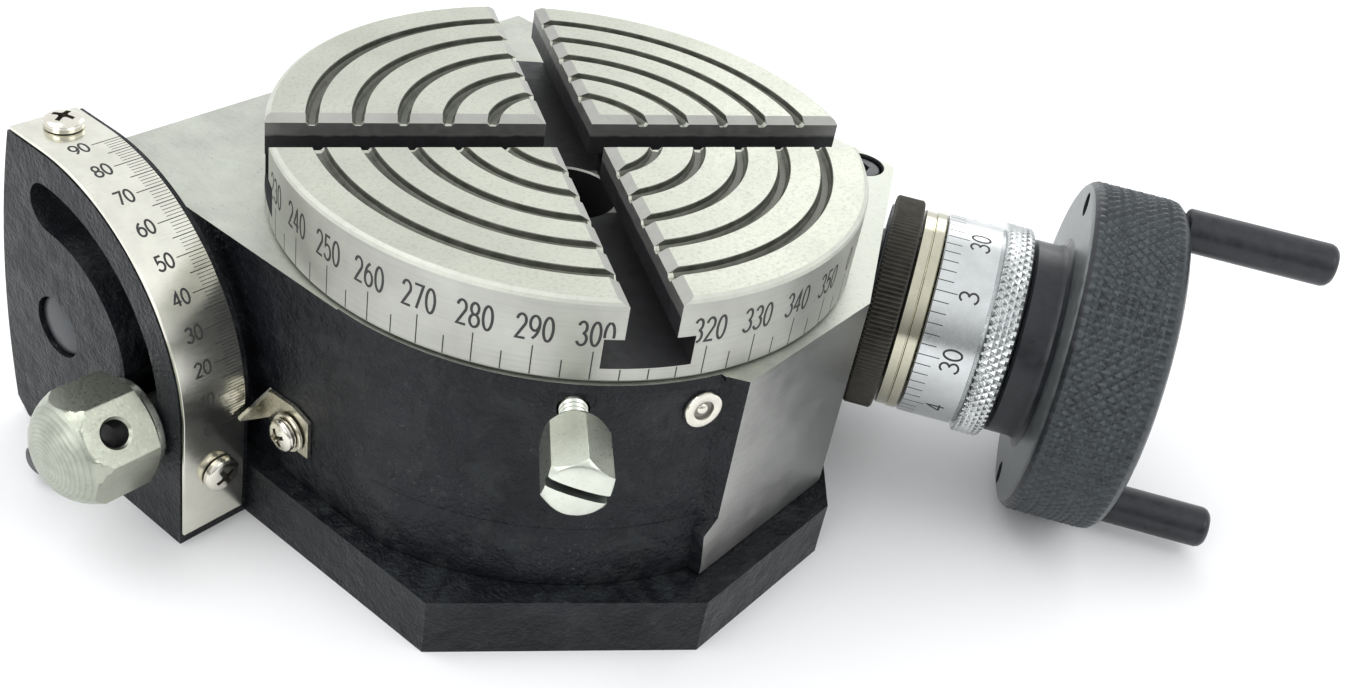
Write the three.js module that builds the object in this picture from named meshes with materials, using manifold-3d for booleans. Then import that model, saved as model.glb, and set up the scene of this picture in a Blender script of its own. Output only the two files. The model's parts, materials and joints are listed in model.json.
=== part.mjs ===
// Tilting rotary table for a small milling machine: a 100 mm worm-driven table
// in a housing that tilts from 0 to 90 degrees between the cheeks of its base.
//
// Units are millimetres, +Z is up. The origin is on the underside of the base,
// below the table's axis. +X runs along the tilt axis, from the cheek that
// carries the degree scale to the plain one, and -Y is the front.

import * as THREE from "three";
import { mergeVertices } from "three/addons/utils/BufferGeometryUtils.js";
import Module from "manifold-3d";

const wasm = await Module();
wasm.setup();

// ---------- driving dimensions ----------

const GAP = 0.3; // clearance between pieces that touch
const EPS = 1; // how far a cutter runs past the face that it opens

// base
const BASE_THICKNESS = 11;
const PIVOT = { y: 49, z: 26.5 }; // tilt axis, along X
const LEFT_CHEEK = { out: -67, in: -54 };
const RIGHT_CHEEK = { in: 54, out: 64 };
const QUADRANT_RADIUS = 32.7; // scale edge of the left cheek, about the pivot
const SLOT_RADIUS = 22.8; // centre line of the curved clamp slot, about the pivot
const SLOT_WIDTH = 8.6;
const STUD_DROP = 14; // with no tilt the stud stands this many degrees below the pivot's level
const STRIP_THICKNESS = 0.65;
const STRIP_LIFT = 0.25; // the scale strip stands this far off the casting

// housing
const HOUSING = { bottom: 11.3, top: 50.3, left: -50.5, right: 50.5, rear: 59.8, front: -51.5 };
const FRONT_WALL_RADIUS = 51.2; // round front wall, about the table's axis
const JOURNAL_BORE = 17.2;
const CHAMBER_RADIUS = 22.6; // holds the worm wheel
const CHAMBER_TOP = 37.6;
const COVER_RADIUS = 28;
const FLAT_FOOT = { x: -17.6, top: 21, depth: 4 }; // the front flat reaches further left low down

// table
const TABLE = { radius: 50, bottom: 50.6, top: 65, bore: 8.5 };
const SLOT_ANGLE = 55.8; // first T-slot, degrees from +X
const T_NECK_WIDTH = 8;
const T_HEAD = { width: 14, floor: 53.2, top: 58.4 };
const GROOVE = { first: 13.7, pitch: 7.25, count: 5, width: 2.2, depth: 1.5 };

// worm drive: 72 : 1
const TEETH = 72;
const MODULE = 0.58;
const WORM_PITCH = Math.PI * MODULE;
const WORM_AXIS_ANGLE = -64.3; // the way that the shaft points, degrees from +X
const WORM_OFFSET = 25.7; // from the table's axis to the shaft's axis
const WORM_HEIGHT = 32.4;
const WHEEL = { radius: (TEETH * MODULE) / 2, bottom: 28.4, top: 36.4, bore: 12.3 };
const WORM = { crest: 5.2, root: 4.0, from: -8, to: 8 };
const BUSH_ECCENTRICITY = 1; // the bush's sleeve lies this much further from the table's axis than the shaft

// stations along the worm shaft, from the foot of the perpendicular
const S = {
  shaftEnd: -9.5, tunnelEnd: -12, bushInner: 22, face: 54.4, neck: 54.7, ring: 55.1, ringEnd: 60.5,
  collar: 60.9, collarEnd: 65, dial: 65.3, dialStep: 75.2, grip: 76, gripEnd: 81.2,
  hub: 81.6, web: 88.1, rimEnd: 105.6,
};

// handwheel
const HANDWHEEL_RADIUS = 31.6;
const HUB_RADIUS = 18.4;
const HANDLE = { radius: 3.9, circle: 27.4, angle: 75, tips: [132.8, 128.4] };

// table clamp bolt, radial in the front wall
const CLAMP = { angle: 224.3, z: 46.4, seat: 54.3, headEnd: 69.6, flats: 9.2, turn: 50, slotTurn: 73 };

// acorn nut of the tilt clamp: stations out from the table's axis, along -X
const ACORN = {
  flats: 17, turn: 41, seat: 69.2, hexEnd: 80.2, tip: 84.4,
  holeStation: 75.4, holeRadius: 2.2,
};


// ---------- materials ----------

const finish = (color, roughness, metalness) => (
  new THREE.MeshStandardMaterial({ color, roughness, metalness }));
const enamel = () => finish(0x1b1e22, 0.45, 0.1);
const groundSteel = () => finish(0xb9b8b0, 0.35, 0.9);
const blackOxide = () => finish(0x2a2b2d, 0.5, 0.6);
const zincPlate = () => finish(0xc4c6c2, 0.3, 0.9);
const nickelPlate = () => finish(0xc9c3b0, 0.25, 1);
const satinChrome = () => finish(0xc8cacc, 0.3, 1);
const bronze = () => finish(0x9a7440, 0.4, 0.9);

// ---------- geometry helpers ----------

const rad = THREE.MathUtils.degToRad;

function solid(geometry) {
  const bare = geometry.clone();
  bare.deleteAttribute("normal");
  bare.deleteAttribute("uv");
  const merged = mergeVertices(bare, 1e-4);
  return new wasm.Manifold(new wasm.Mesh({
    numProp: 3,
    vertProperties: new Float32Array(merged.attributes.position.array),
    triVerts: new Uint32Array(merged.index.array),
  }));
}

function geometryOf(manifold) {
  const { vertProperties, triVerts } = manifold.getMesh();
  const geometry = new THREE.BufferGeometry();
  geometry.setAttribute("position", new THREE.BufferAttribute(new Float32Array(vertProperties), 3));
  geometry.setIndex(new THREE.BufferAttribute(new Uint32Array(triVerts), 1));
  geometry.computeVertexNormals();
  return geometry;
}

const join = (...pieces) => pieces.reduce((all, piece) => all.add(piece));
const cut = (body, ...tools) => tools.reduce((rest, tool) => rest.subtract(tool), body);

// A round solid about Z from [radius, height] points; both ends lie on the axis.
function turned(points, segments = 28) {
  const profile = points.map(([r, z]) => new THREE.Vector2(r, z));
  return solid(new THREE.LatheGeometry(profile, segments).rotateX(Math.PI / 2));
}

function disc(radius, from, to, segments = 28) {
  return turned([[0, from], [radius, from], [radius, to], [0, to]], segments);
}

function box(x0, x1, y0, y1, z0, z1) {
  const block = new THREE.BoxGeometry(x1 - x0, y1 - y0, z1 - z0);
  return solid(block.translate((x0 + x1) / 2, (y0 + y1) / 2, (z0 + z1) / 2));
}

const shapeOf = (points) => new THREE.Shape(points.map(([x, y]) => new THREE.Vector2(x, y)));

// An outline in the XY plane, raised from one height to another.
function raised(shape, from, to, curveSegments = 16) {
  const settings = { depth: to - from, bevelEnabled: false, curveSegments };
  return solid(new THREE.ExtrudeGeometry(shape, settings).translate(0, 0, from));
}

// An outline drawn with (y, z) coordinates, extruded along X.
function slab(shape, fromX, toX, curveSegments = 16) {
  const settings = { depth: toX - fromX, bevelEnabled: false, curveSegments };
  const geometry = new THREE.ExtrudeGeometry(shape, settings);
  const axes = new THREE.Matrix4().makeBasis(
    new THREE.Vector3(0, 1, 0), new THREE.Vector3(0, 0, 1), new THREE.Vector3(1, 0, 0));
  return solid(geometry.applyMatrix4(axes).translate(fromX, 0, 0));
}

// A hexagonal prism about Z whose ends are trimmed by cones.
function hexPrism(flats, from, to, turn = 0, chamferFrom = true, chamferTo = true) {
  const corner = flats / Math.sqrt(3);
  const outline = [];
  for (let k = 0; k < 6; k += 1) {
    const angle = rad(60 * k + turn);
    outline.push([corner * Math.cos(angle), corner * Math.sin(angle)]);
  }
  const drop = (corner - flats / 2) * 0.75;
  const low = chamferFrom ? [[flats / 2, from], [corner + 0.01, from + drop]] : [[corner + 0.01, from]];
  const high = chamferTo ? [[corner + 0.01, to - drop], [flats / 2, to]] : [[corner + 0.01, to]];
  const trim = turned([[0, from], ...low, ...high, [0, to]], 18);
  return raised(shapeOf(outline), from, to).intersect(trim);
}

// Turns a solid that was made about Z so that its axis points along X, one way or the other.
const alongX = (manifold, direction = 1) => manifold.rotate([0, 90 * direction, 0]);

function piece(name, manifold, material) {
  const mesh = new THREE.Mesh(geometryOf(manifold), material);
  mesh.name = name;
  return mesh;
}

// ---------- base ----------

function baseOutline() {
  return shapeOf([
    [-54, 62], [-54, -26.4], [-20.6, -56.4], [14.6, -56.4], [22.5, -50.2], [54, -26.4], [54, 62],
  ]);
}

function quadrantOutline() {
  const topFlat = PIVOT.z + QUADRANT_RADIUS;
  const shape = new THREE.Shape();
  shape.moveTo(17.6, 0);
  shape.lineTo(PIVOT.y - QUADRANT_RADIUS, PIVOT.z);
  shape.absarc(PIVOT.y, PIVOT.z, QUADRANT_RADIUS, Math.PI, Math.PI / 2, true);
  shape.lineTo(58, topFlat);
  shape.quadraticCurveTo(66, 32, 64.3, 3);
  shape.lineTo(61.5, 0);
  shape.closePath();
  return shape;
}

// Where the tilt stud stands in the (y, z) plane with no tilt.
const STUD = {
  y: PIVOT.y - SLOT_RADIUS * Math.cos(rad(STUD_DROP)), z: PIVOT.z - SLOT_RADIUS * Math.sin(rad(STUD_DROP)),
};

// The curved slot, from the stud's place to straight above the pivot.
function clampSlot() {
  const half = SLOT_WIDTH / 2;
  const low = Math.PI + rad(STUD_DROP);
  const shape = new THREE.Shape();
  shape.absarc(PIVOT.y, PIVOT.z, SLOT_RADIUS + half, low, Math.PI / 2, true);
  shape.absarc(PIVOT.y, PIVOT.z + SLOT_RADIUS, half, Math.PI / 2, -Math.PI / 2, true);
  shape.absarc(PIVOT.y, PIVOT.z, SLOT_RADIUS - half, Math.PI / 2, low, false);
  shape.absarc(STUD.y, STUD.z, half, low - Math.PI, low - 2 * Math.PI, true);
  return shape;
}

function plainCheekOutline() {
  const radius = 13;
  const shape = new THREE.Shape();
  shape.moveTo(PIVOT.y - radius - 3, 0);
  shape.lineTo(PIVOT.y - radius, PIVOT.z);
  shape.absarc(PIVOT.y, PIVOT.z, radius, Math.PI, 0, true);
  shape.lineTo(62, 0);
  shape.closePath();
  return shape;
}

const pivotHole = (radius, fromX, toX) => (
  alongX(disc(radius, fromX, toX, 24)).translate([0, PIVOT.y, PIVOT.z]));

const STRIP_SCREWS = [
  { name: "strip_screw_top", x: -60.4, y: 53, z: PIVOT.z + QUADRANT_RADIUS, front: false },
  { name: "strip_screw_bottom", x: -60.4, y: 17.1, z: 13.5, front: true },
];
const SIDE_STUD = { y: 45.3, z: 4.6, radius: 2.8, tip: -76 };

function placeStripScrew(manifold, { x, y, z, front }) {
  return front ? manifold.rotate([90, 0, 0]).translate([x, y, z]) : manifold.translate([x, y, z]);
}

function baseCasting() {
  const plate = raised(baseOutline(), 0, BASE_THICKNESS);
  const leftCheek = slab(quadrantOutline(), LEFT_CHEEK.out, LEFT_CHEEK.in + 0.5);
  const rightCheek = slab(plainCheekOutline(), RIGHT_CHEEK.in - 0.5, RIGHT_CHEEK.out);
  const clearOfHousing = box(LEFT_CHEEK.in, LEFT_CHEEK.in + 2, -60, 70, BASE_THICKNESS, 70);
  const clearOfHousingRight = box(RIGHT_CHEEK.in - 2, RIGHT_CHEEK.in, -60, 70, BASE_THICKNESS, 70);
  const slot = slab(clampSlot(), LEFT_CHEEK.out - EPS, LEFT_CHEEK.in + EPS, 10);
  const screwHoles = STRIP_SCREWS.map((screw) => placeStripScrew(disc(1.7, -7.5, EPS, 12), screw));
  const studHole = alongX(disc(SIDE_STUD.radius - 0.5, -68, -60, 16))
    .translate([0, SIDE_STUD.y, SIDE_STUD.z]);
  return cut(
    join(plate, leftCheek, rightCheek), clearOfHousing, clearOfHousingRight, slot,
    pivotHole(6.1, LEFT_CHEEK.out - EPS, LEFT_CHEEK.in + EPS),
    pivotHole(5.1, RIGHT_CHEEK.in - EPS, RIGHT_CHEEK.out + EPS), ...screwHoles, studHole);
}

// The scale strip lies on the quadrant's front edge, its arc and its top.
function degreeStrip() {
  const inner = QUADRANT_RADIUS + STRIP_LIFT;
  const outer = inner + STRIP_THICKNESS;
  const edge = (offset, bottom) => {
    const lean = (17.6 - (PIVOT.y - QUADRANT_RADIUS)) / PIVOT.z;
    return [PIVOT.y - offset + lean * (PIVOT.z - bottom), bottom];
  };
  const shape = new THREE.Shape();
  const bottom = 2.5;
  shape.moveTo(...edge(outer, bottom));
  shape.lineTo(PIVOT.y - outer, PIVOT.z);
  shape.absarc(PIVOT.y, PIVOT.z, outer, Math.PI, Math.PI / 2, true);
  shape.lineTo(57.5, PIVOT.z + outer);
  shape.lineTo(57.5, PIVOT.z + inner);
  shape.lineTo(PIVOT.y, PIVOT.z + inner);
  shape.absarc(PIVOT.y, PIVOT.z, inner, Math.PI / 2, Math.PI, false);
  shape.lineTo(...edge(inner, bottom));
  shape.closePath();
  const holes = STRIP_SCREWS.map((screw) => placeStripScrew(disc(2, -EPS, 4, 16), screw));
  return cut(slab(shape, LEFT_CHEEK.out + 0.1, -55.3, 18), ...holes);
}

// A pan-head screw with a cross recess, its head resting at the given height.
function panScrew(headRadius, headHeight, shankRadius, length, seat) {
  const blank = turned([
    [0, seat - length], [shankRadius, seat - length], [shankRadius, seat], [headRadius, seat],
    [headRadius, seat + headHeight * 0.45], [headRadius * 0.72, seat + headHeight * 0.92],
    [0, seat + headHeight],
  ], 14);
  const recess = seat + headHeight * 0.45;
  const arm = headRadius * 0.5;
  const wide = headRadius * 0.11;
  return cut(
    blank, box(-arm, arm, -wide, wide, recess, seat + headHeight + EPS),
    box(-wide, wide, -arm, arm, recess, seat + headHeight + EPS));
}

const stripScrew = (screw) => placeStripScrew(
  panScrew(3.1, 2, 1.5, 7.5, STRIP_LIFT + STRIP_THICKNESS + 0.15 + (screw.front ? 0.4 : 0)), screw);

// A shouldered pin: its large end sits in a cheek, its nose in the housing's boss.
function pivotPin(headRadius, noseRadius, outerX, shoulderX, innerX) {
  const [low, high] = [Math.min(outerX, innerX), Math.max(outerX, innerX)];
  const outerIsLow = outerX < innerX;
  const profile = outerIsLow
    ? [[headRadius, low], [headRadius, shoulderX], [noseRadius, shoulderX], [noseRadius, high]]
    : [[noseRadius, low], [noseRadius, shoulderX], [headRadius, shoulderX], [headRadius, high]];
  return alongX(turned([[0, low], ...profile, [0, high]], 18)).translate([0, PIVOT.y, PIVOT.z]);
}

function sideStud() {
  const { y, z, radius, tip } = SIDE_STUD;
  const profile = [
    [0, tip], [radius * 0.7, tip], [radius, tip + 0.9], [radius, LEFT_CHEEK.out - GAP],
    [radius - 0.8, LEFT_CHEEK.out - GAP], [radius - 0.8, -61], [0, -61],
  ];
  return alongX(turned(profile, 16)).translate([0, y, z]);
}

function baseGroup() {
  const group = new THREE.Group();
  group.add(
    piece("base_casting", baseCasting(), enamel()),
    piece("degree_strip", degreeStrip(), groundSteel()),
    ...STRIP_SCREWS.map((screw) => piece(screw.name, stripScrew(screw), nickelPlate())),
    piece("left_pivot_pin", pivotPin(5.85, 4.5, -66.6, -53.9, -46), blackOxide()),
    piece("right_pivot_pin", pivotPin(4.85, 4.5, 63.6, 53.9, 46), blackOxide()),
    piece("side_stud", sideStud(), blackOxide()));
  return group;
}

// ---------- housing ----------

const shaftDirection = new THREE.Vector3(Math.cos(rad(WORM_AXIS_ANGLE)), Math.sin(rad(WORM_AXIS_ANGLE)), 0);
const shaftSide = new THREE.Vector3(-shaftDirection.y, shaftDirection.x, 0);
const shaftOrigin = shaftSide.clone().multiplyScalar(WORM_OFFSET).setZ(WORM_HEIGHT);

// The shaft's own frame: local Z along the shaft, local Y up, local X away from the table's axis.
const shaftFrame = new THREE.Matrix4()
  .makeBasis(shaftSide, new THREE.Vector3(0, 0, 1), shaftDirection)
  .setPosition(shaftOrigin);

const inShaftFrame = (manifold) => manifold.transform(shaftFrame.toArray());

const CORNER = { x: 18.9, y: HOUSING.front }; // the front flat meets the worm face here
const PAD_EDGE = 16.6; // the front flat stands proud of the round wall from here
const FACE_ANGLE = 27.2; // the worm face, degrees from +X

function housingOutline() {
  const wallStart = Math.PI + Math.asin(7.9 / FRONT_WALL_RADIUS);
  const padY = -Math.sqrt(FRONT_WALL_RADIUS ** 2 - PAD_EDGE ** 2);
  const wallEnd = Math.PI + Math.atan2(-padY, PAD_EDGE);
  const sideX = 64;
  const shape = new THREE.Shape();
  shape.moveTo(HOUSING.left, HOUSING.rear);
  shape.lineTo(FRONT_WALL_RADIUS * Math.cos(wallStart), FRONT_WALL_RADIUS * Math.sin(wallStart));
  shape.absarc(0, 0, FRONT_WALL_RADIUS, wallStart, wallEnd, false);
  shape.lineTo(-15, HOUSING.front);
  shape.lineTo(CORNER.x, CORNER.y);
  shape.lineTo(sideX, CORNER.y + (sideX - CORNER.x) * Math.tan(rad(FACE_ANGLE)));
  shape.lineTo(sideX, -6);
  shape.lineTo(HOUSING.right, 14);
  shape.lineTo(HOUSING.right, HOUSING.rear);
  shape.closePath();
  return shape;
}

// Rounds the lower rear of the housing about the pivot, so that it swings clear of the base.
function rearRelief() {
  const radius = PIVOT.z - BASE_THICKNESS - 0.4;
  const shape = new THREE.Shape();
  shape.moveTo(PIVOT.y, HOUSING.bottom - EPS);
  shape.lineTo(PIVOT.y, PIVOT.z - radius);
  shape.absarc(PIVOT.y, PIVOT.z, radius, -Math.PI / 2, 0, false);
  shape.lineTo(PIVOT.y + radius + 5, PIVOT.z);
  shape.lineTo(PIVOT.y + radius + 5, HOUSING.bottom - EPS);
  shape.closePath();
  return slab(shape, -70, 70, 10);
}

const BUSH_LOCK = { x: 59.3, y: -23.5 };
const OILER = { angle: 247, z: 45.3, radius: 3.2 };
const POINTER_SCREW = { y: 9, z: 21.6 };
const COVER_SCREWS = [30, 150, 270].map((angle) => ({
  x: 25.2 * Math.cos(rad(angle)), y: 25.2 * Math.sin(rad(angle)),
}));

// Places a solid made about Z on a horizontal radius of the table's axis.
function onRadius(manifold, angle, z) {
  return manifold.rotate([0, 90, 0]).rotate([0, 0, angle]).translate([0, 0, z]);
}

function housingCasting() {
  const bossX = -LEFT_CHEEK.in - 0.4;
  const boss = (from, to, y, z) => alongX(disc(7.5, from, to, 24)).translate([0, y, z]);
  const block = join(
    raised(housingOutline(), HOUSING.bottom, HOUSING.top, 16),
    box(FLAT_FOOT.x, -14, HOUSING.front, HOUSING.front + FLAT_FOOT.depth, HOUSING.bottom, FLAT_FOOT.top),
    boss(-bossX, HOUSING.left + EPS, PIVOT.y, PIVOT.z), boss(-bossX, HOUSING.left + EPS, STUD.y, STUD.z),
    boss(HOUSING.right - EPS, bossX, PIVOT.y, PIVOT.z));
  const worm = inShaftFrame(turned([
    [0, S.tunnelEnd], [7.4, S.tunnelEnd], [7.4, S.bushInner - 0.5],
    [13.2, S.bushInner - 0.5], [13.2, S.face + 5], [0, S.face + 5],
  ], 20).translate([BUSH_ECCENTRICITY, 0, 0]));
  const spindle = turned([
    [0, HOUSING.bottom - EPS], [COVER_RADIUS, HOUSING.bottom - EPS], [COVER_RADIUS, 14],
    [CHAMBER_RADIUS, 14], [CHAMBER_RADIUS, CHAMBER_TOP], [JOURNAL_BORE, CHAMBER_TOP],
    [JOURNAL_BORE, HOUSING.top + EPS], [0, HOUSING.top + EPS],
  ], 28);
  const clampHole = onRadius(disc(2.7, JOURNAL_BORE - EPS, 56, 16), CLAMP.angle, CLAMP.z);
  const padHole = onRadius(disc(3.3, JOURNAL_BORE - EPS, 30, 16), CLAMP.angle, CLAMP.z);
  const oilHole = onRadius(
    turned([[0, 15], [1, 15], [1, 46], [OILER.radius - 0.4, 46], [OILER.radius - 0.4, 56], [0, 56]], 16),
    OILER.angle, OILER.z);
  const lockHole = turned([[0, 37], [2.2, 37], [2.2, 45.3], [4.2, 45.3], [4.2, HOUSING.top + EPS],
    [0, HOUSING.top + EPS]], 20).translate([BUSH_LOCK.x, BUSH_LOCK.y, 0]);
  const pointerHole = alongX(disc(1.5, -55, -44, 12)).translate([0, POINTER_SCREW.y, POINTER_SCREW.z]);
  const coverHoles = COVER_SCREWS.map(({ x, y }) => disc(1.3, 10, 21, 10).translate([x, y, 0]));
  return cut(
    block, rearRelief(), worm, spindle, clampHole, padHole, oilHole, lockHole, pointerHole, ...coverHoles,
    pivotHole(4.8, -58, -44), pivotHole(4.8, 44, 58),
    alongX(disc(3.6, -58, -40, 16)).translate([0, STUD.y, STUD.z]));
}

// A bent plate: a leaf on the housing's left side, and a point that reads the scale.
function zeroPointer() {
  const thickness = 0.7;
  const leafX = HOUSING.left - 0.25;
  const bendY = PIVOT.y - 34.4;
  const leaf = slab(
    shapeOf([[4.8, 18.4], [12.5, 18.2], [bendY, 21], [bendY, 26.6], [8.6, 26.8], [4.8, 25.6]]),
    leafX - thickness, leafX);
  const blade = shapeOf([[leafX, 21], [-57.2, 23.3], [-57.2, 23.8], [leafX, 26.6]]);
  const tongue = raised(blade, 0, thickness).rotate([90, 0, 0]).translate([0, bendY + 0.35, 0]);
  const hole = alongX(disc(1.6, -55, -44, 12)).translate([0, POINTER_SCREW.y, POINTER_SCREW.z]);
  return cut(join(leaf, tongue), hole);
}

const atPointerScrew = (manifold) => alongX(manifold, -1)
  .translate([HOUSING.left - 0.95, POINTER_SCREW.y, POINTER_SCREW.z]);

const ring = (inner, outer, from, to, segments = 28) => cut(
  disc(outer, from, to, segments), disc(inner, from - EPS, to + EPS, segments));

function oiler() {
  const { radius } = OILER;
  const seat = FRONT_WALL_RADIUS + 0.1;
  const cup = turned([
    [0, 48], [radius - 0.7, 48], [radius - 0.7, seat], [radius, seat], [radius, seat + 0.5],
    [radius - 0.4, seat + 0.8], [1.5, seat + 0.8], [1.3, seat + 0.3], [0.9, seat + 0.6], [0, seat + 0.75],
  ], 16);
  return onRadius(cup, OILER.angle, OILER.z);
}

// Socket cap screw that pinches the eccentric bush, sunk in the housing's top.
function bushLockScrew() {
  const screw = turned([
    [0, 38], [1.9, 38], [1.9, 45.6], [3.9, 45.6], [3.9, 49.4], [3.5, 49.8], [0, 49.8],
  ], 20);
  return cut(screw, hexPrism(3, 47.6, 51, 0, false, false)).translate([BUSH_LOCK.x, BUSH_LOCK.y, 0]);
}

function bottomCover() {
  const screwHoles = COVER_SCREWS.map(({ x, y }) => turned(
    [[0, 10], [2.6, 10], [2.6, HOUSING.bottom + 0.3], [1.4, 12.9], [1.4, 15], [0, 15]],
    12).translate([x, y, 0]));
  return cut(disc(COVER_RADIUS - GAP, HOUSING.bottom + 0.1, 13.7, 28), ...screwHoles);
}

const coverScrew = ({ x, y }) => turned(
  [[0, 11.5], [2.2, 11.5], [2.2, HOUSING.bottom + 0.35], [1.05, 12.9], [1.05, 20], [0, 20]],
  12).translate([x, y, 0]);

const atStud = (manifold) => alongX(manifold, -1).translate([0, STUD.y, STUD.z]);

// The stud screws into the housing's boss and runs out through the curved slot.
const tiltStud = () => atStud(disc(3.2, 41, 78, 16));
const tiltWasher = () => atStud(ring(3.6, 8.4, 67.3, 68.9, 24));

// Acorn nut with a cross hole for a tommy bar; the dome faces outward.
function tiltNut() {
  const { flats, turn, seat, hexEnd, tip, holeStation, holeRadius } = ACORN;
  const hex = hexPrism(flats, seat, hexEnd, turn, true, false);
  const domeRadius = flats / 2 - 0.2;
  const rise = tip - hexEnd;
  const dome = turned([
    [0, hexEnd - 0.5], [domeRadius, hexEnd - 0.5],
    [domeRadius, hexEnd], [domeRadius * 0.9, hexEnd + rise * 0.5],
    [domeRadius * 0.7, hexEnd + rise * 0.8], [domeRadius * 0.4, hexEnd + rise * 0.96], [0, tip],
  ], 18);
  const thread = disc(3.5, seat - EPS, tip - 4, 16);
  const tommyHole = disc(holeRadius, -12, 12, 16)
    .rotate([90, 0, 0]).rotate([0, 0, turn]).translate([0, 0, holeStation]);
  return atStud(cut(join(hex, dome), thread, tommyHole));
}

function housingGroup() {
  const group = new THREE.Group();
  group.add(
    piece("housing_casting", housingCasting(), enamel()),
    piece("zero_pointer", zeroPointer(), nickelPlate()),
    piece("pointer_washer", atPointerScrew(ring(1.6, 3.4, 0.3, 0.9, 24)), nickelPlate()),
    piece("pointer_screw", atPointerScrew(panScrew(2.8, 1.9, 1.3, 6, 1.2)), nickelPlate()),
    piece("ball_oiler", oiler(), nickelPlate()),
    piece("bush_lock_screw", bushLockScrew(), blackOxide()),
    piece("bottom_cover", bottomCover(), enamel()),
    ...COVER_SCREWS.map((place, k) => piece(`cover_screw_${k + 1}`, coverScrew(place), blackOxide())),
    piece("tilt_stud", tiltStud(), zincPlate()),
    piece("tilt_washer", tiltWasher(), zincPlate()),
    piece("tilt_nut", tiltNut(), zincPlate()));
  return group;
}

// ---------- table clamp ----------

function clampBolt() {
  const { seat, headEnd, flats, turn, slotTurn } = CLAMP;
  const corner = flats / Math.sqrt(3) + 0.05;
  const shoulder = 4.2;
  const faceRadius = flats / 2 - 0.1;
  const hex = hexPrism(flats, seat, headEnd - 0.5, turn, false, false);
  const trim = turned([
    [0, seat], [2.6, seat], [corner, seat + shoulder], [corner, headEnd - 1.5], [faceRadius, headEnd - 0.5],
    [0, headEnd - 0.5],
  ], 18);
  const crown = turned([
    [0, headEnd - 1], [faceRadius - 0.1, headEnd - 1], [faceRadius - 0.1, headEnd - 0.4],
    [faceRadius * 0.55, headEnd - 0.1], [0, headEnd],
  ], 16);
  const shank = disc(2.3, 20.6, seat + 0.5, 14);
  const slot = box(-6, 6, -0.7, 0.7, headEnd - 2, headEnd + EPS).rotate([0, 0, slotTurn]);
  return onRadius(cut(join(hex.intersect(trim), crown, shank), slot), CLAMP.angle, CLAMP.z);
}

const clampPad = () => onRadius(disc(3, JOURNAL_BORE + 0.25, 20.3, 20), CLAMP.angle, CLAMP.z);

// ---------- table ----------

function tableDisc() {
  const { radius, bottom, top, bore } = TABLE;
  const grooves = [];
  for (let k = GROOVE.count - 1; k >= 0; k -= 1) {
    const centre = GROOVE.first + GROOVE.pitch * k;
    const half = GROOVE.width / 2;
    grooves.push([centre + half, top], [centre, top - GROOVE.depth], [centre - half, top]);
  }
  const body = turned([
    [0, 20], [10.8, 20], [10.8, 24], [12, 24.5], [12, CHAMBER_TOP - 0.2], [17, CHAMBER_TOP - 0.2],
    [17, bottom - 0.2], [radius - 0.6, bottom], [radius, bottom + 0.6],
    [radius, top - 0.8], [radius - 0.8, top], ...grooves, [0, top],
  ], 34);
  const slots = [];
  for (const angle of [SLOT_ANGLE, SLOT_ANGLE + 90]) {
    const neck = box(-60, 60, -T_NECK_WIDTH / 2, T_NECK_WIDTH / 2, T_HEAD.top - EPS, top + EPS);
    const head = box(-60, 60, -T_HEAD.width / 2, T_HEAD.width / 2, T_HEAD.floor, T_HEAD.top);
    slots.push(join(neck, head).rotate([0, 0, angle]));
  }
  const keyway = box(10.4, 13, -1.6, 1.6, WHEEL.bottom - 0.2, WHEEL.top + 0.1);
  return cut(body, ...slots, disc(bore, 10, 70, 28), keyway);
}

// A ring with straight teeth; a tooth space faces the worm.
function wormWheel() {
  const { radius, bottom, top, bore } = WHEEL;
  const tip = radius + 0.5;
  const root = radius - 0.62;
  const step = (2 * Math.PI) / TEETH;
  const start = rad(WORM_AXIS_ANGLE + 90);
  const outline = [];
  for (let k = 0; k < TEETH; k += 1) {
    const middle = start + (k + 0.5) * step;
    const corners = [[root, -0.27], [tip, -0.1], [tip, 0.1], [root, 0.27]];
    corners.forEach(([r, part]) => outline.push([
      r * Math.cos(middle + part * step), r * Math.sin(middle + part * step),
    ]));
  }
  const keyway = box(bore - EPS, 13.9, -1.6, 1.6, bottom - EPS, top + EPS);
  return cut(raised(shapeOf(outline), bottom, top), disc(bore, bottom - EPS, top + EPS, 28), keyway);
}

const wheelKey = () => box(10.6, 13.6, -1.4, 1.4, WHEEL.bottom, WHEEL.top - 0.2);
const spindleNut = () => cut(
  ring(12.3, 17, 24.3, 28.1, 28), box(-18, 18, -2, 2, 22, 25.6), box(-2, 2, -18, 18, 22, 25.6));

function tableGroup() {
  const group = new THREE.Group();
  group.add(
    piece("table_disc", tableDisc(), groundSteel()),
    piece("worm_wheel", wormWheel(), bronze()),
    piece("wheel_key", wheelKey(), groundSteel()),
    piece("thrust_washer", ring(12.3, 20.5, WHEEL.top + 0.2, CHAMBER_TOP - 0.3, 28), bronze()),
    piece("spindle_nut", spindleNut(), blackOxide()));
  return group;
}

// ---------- worm shaft, dial and handwheel, in the shaft's own frame ----------

function eccentricBush() {
  const sleeve = disc(12.9, S.bushInner, S.neck + 0.5, 24).translate([BUSH_ECCENTRICITY, 0, 0]);
  const flange = turned([
    [0, S.neck], [18.2, S.neck], [18.2, S.ring], [20.15, S.ring], [20.15, S.ringEnd],
    [13.6, S.ringEnd], [13.6, S.collarEnd - 0.5], [0, S.collarEnd - 0.5],
  ], 28);
  return cut(join(sleeve, flange), disc(5.4, S.bushInner - EPS, S.collarEnd + EPS, 20));
}

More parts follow.
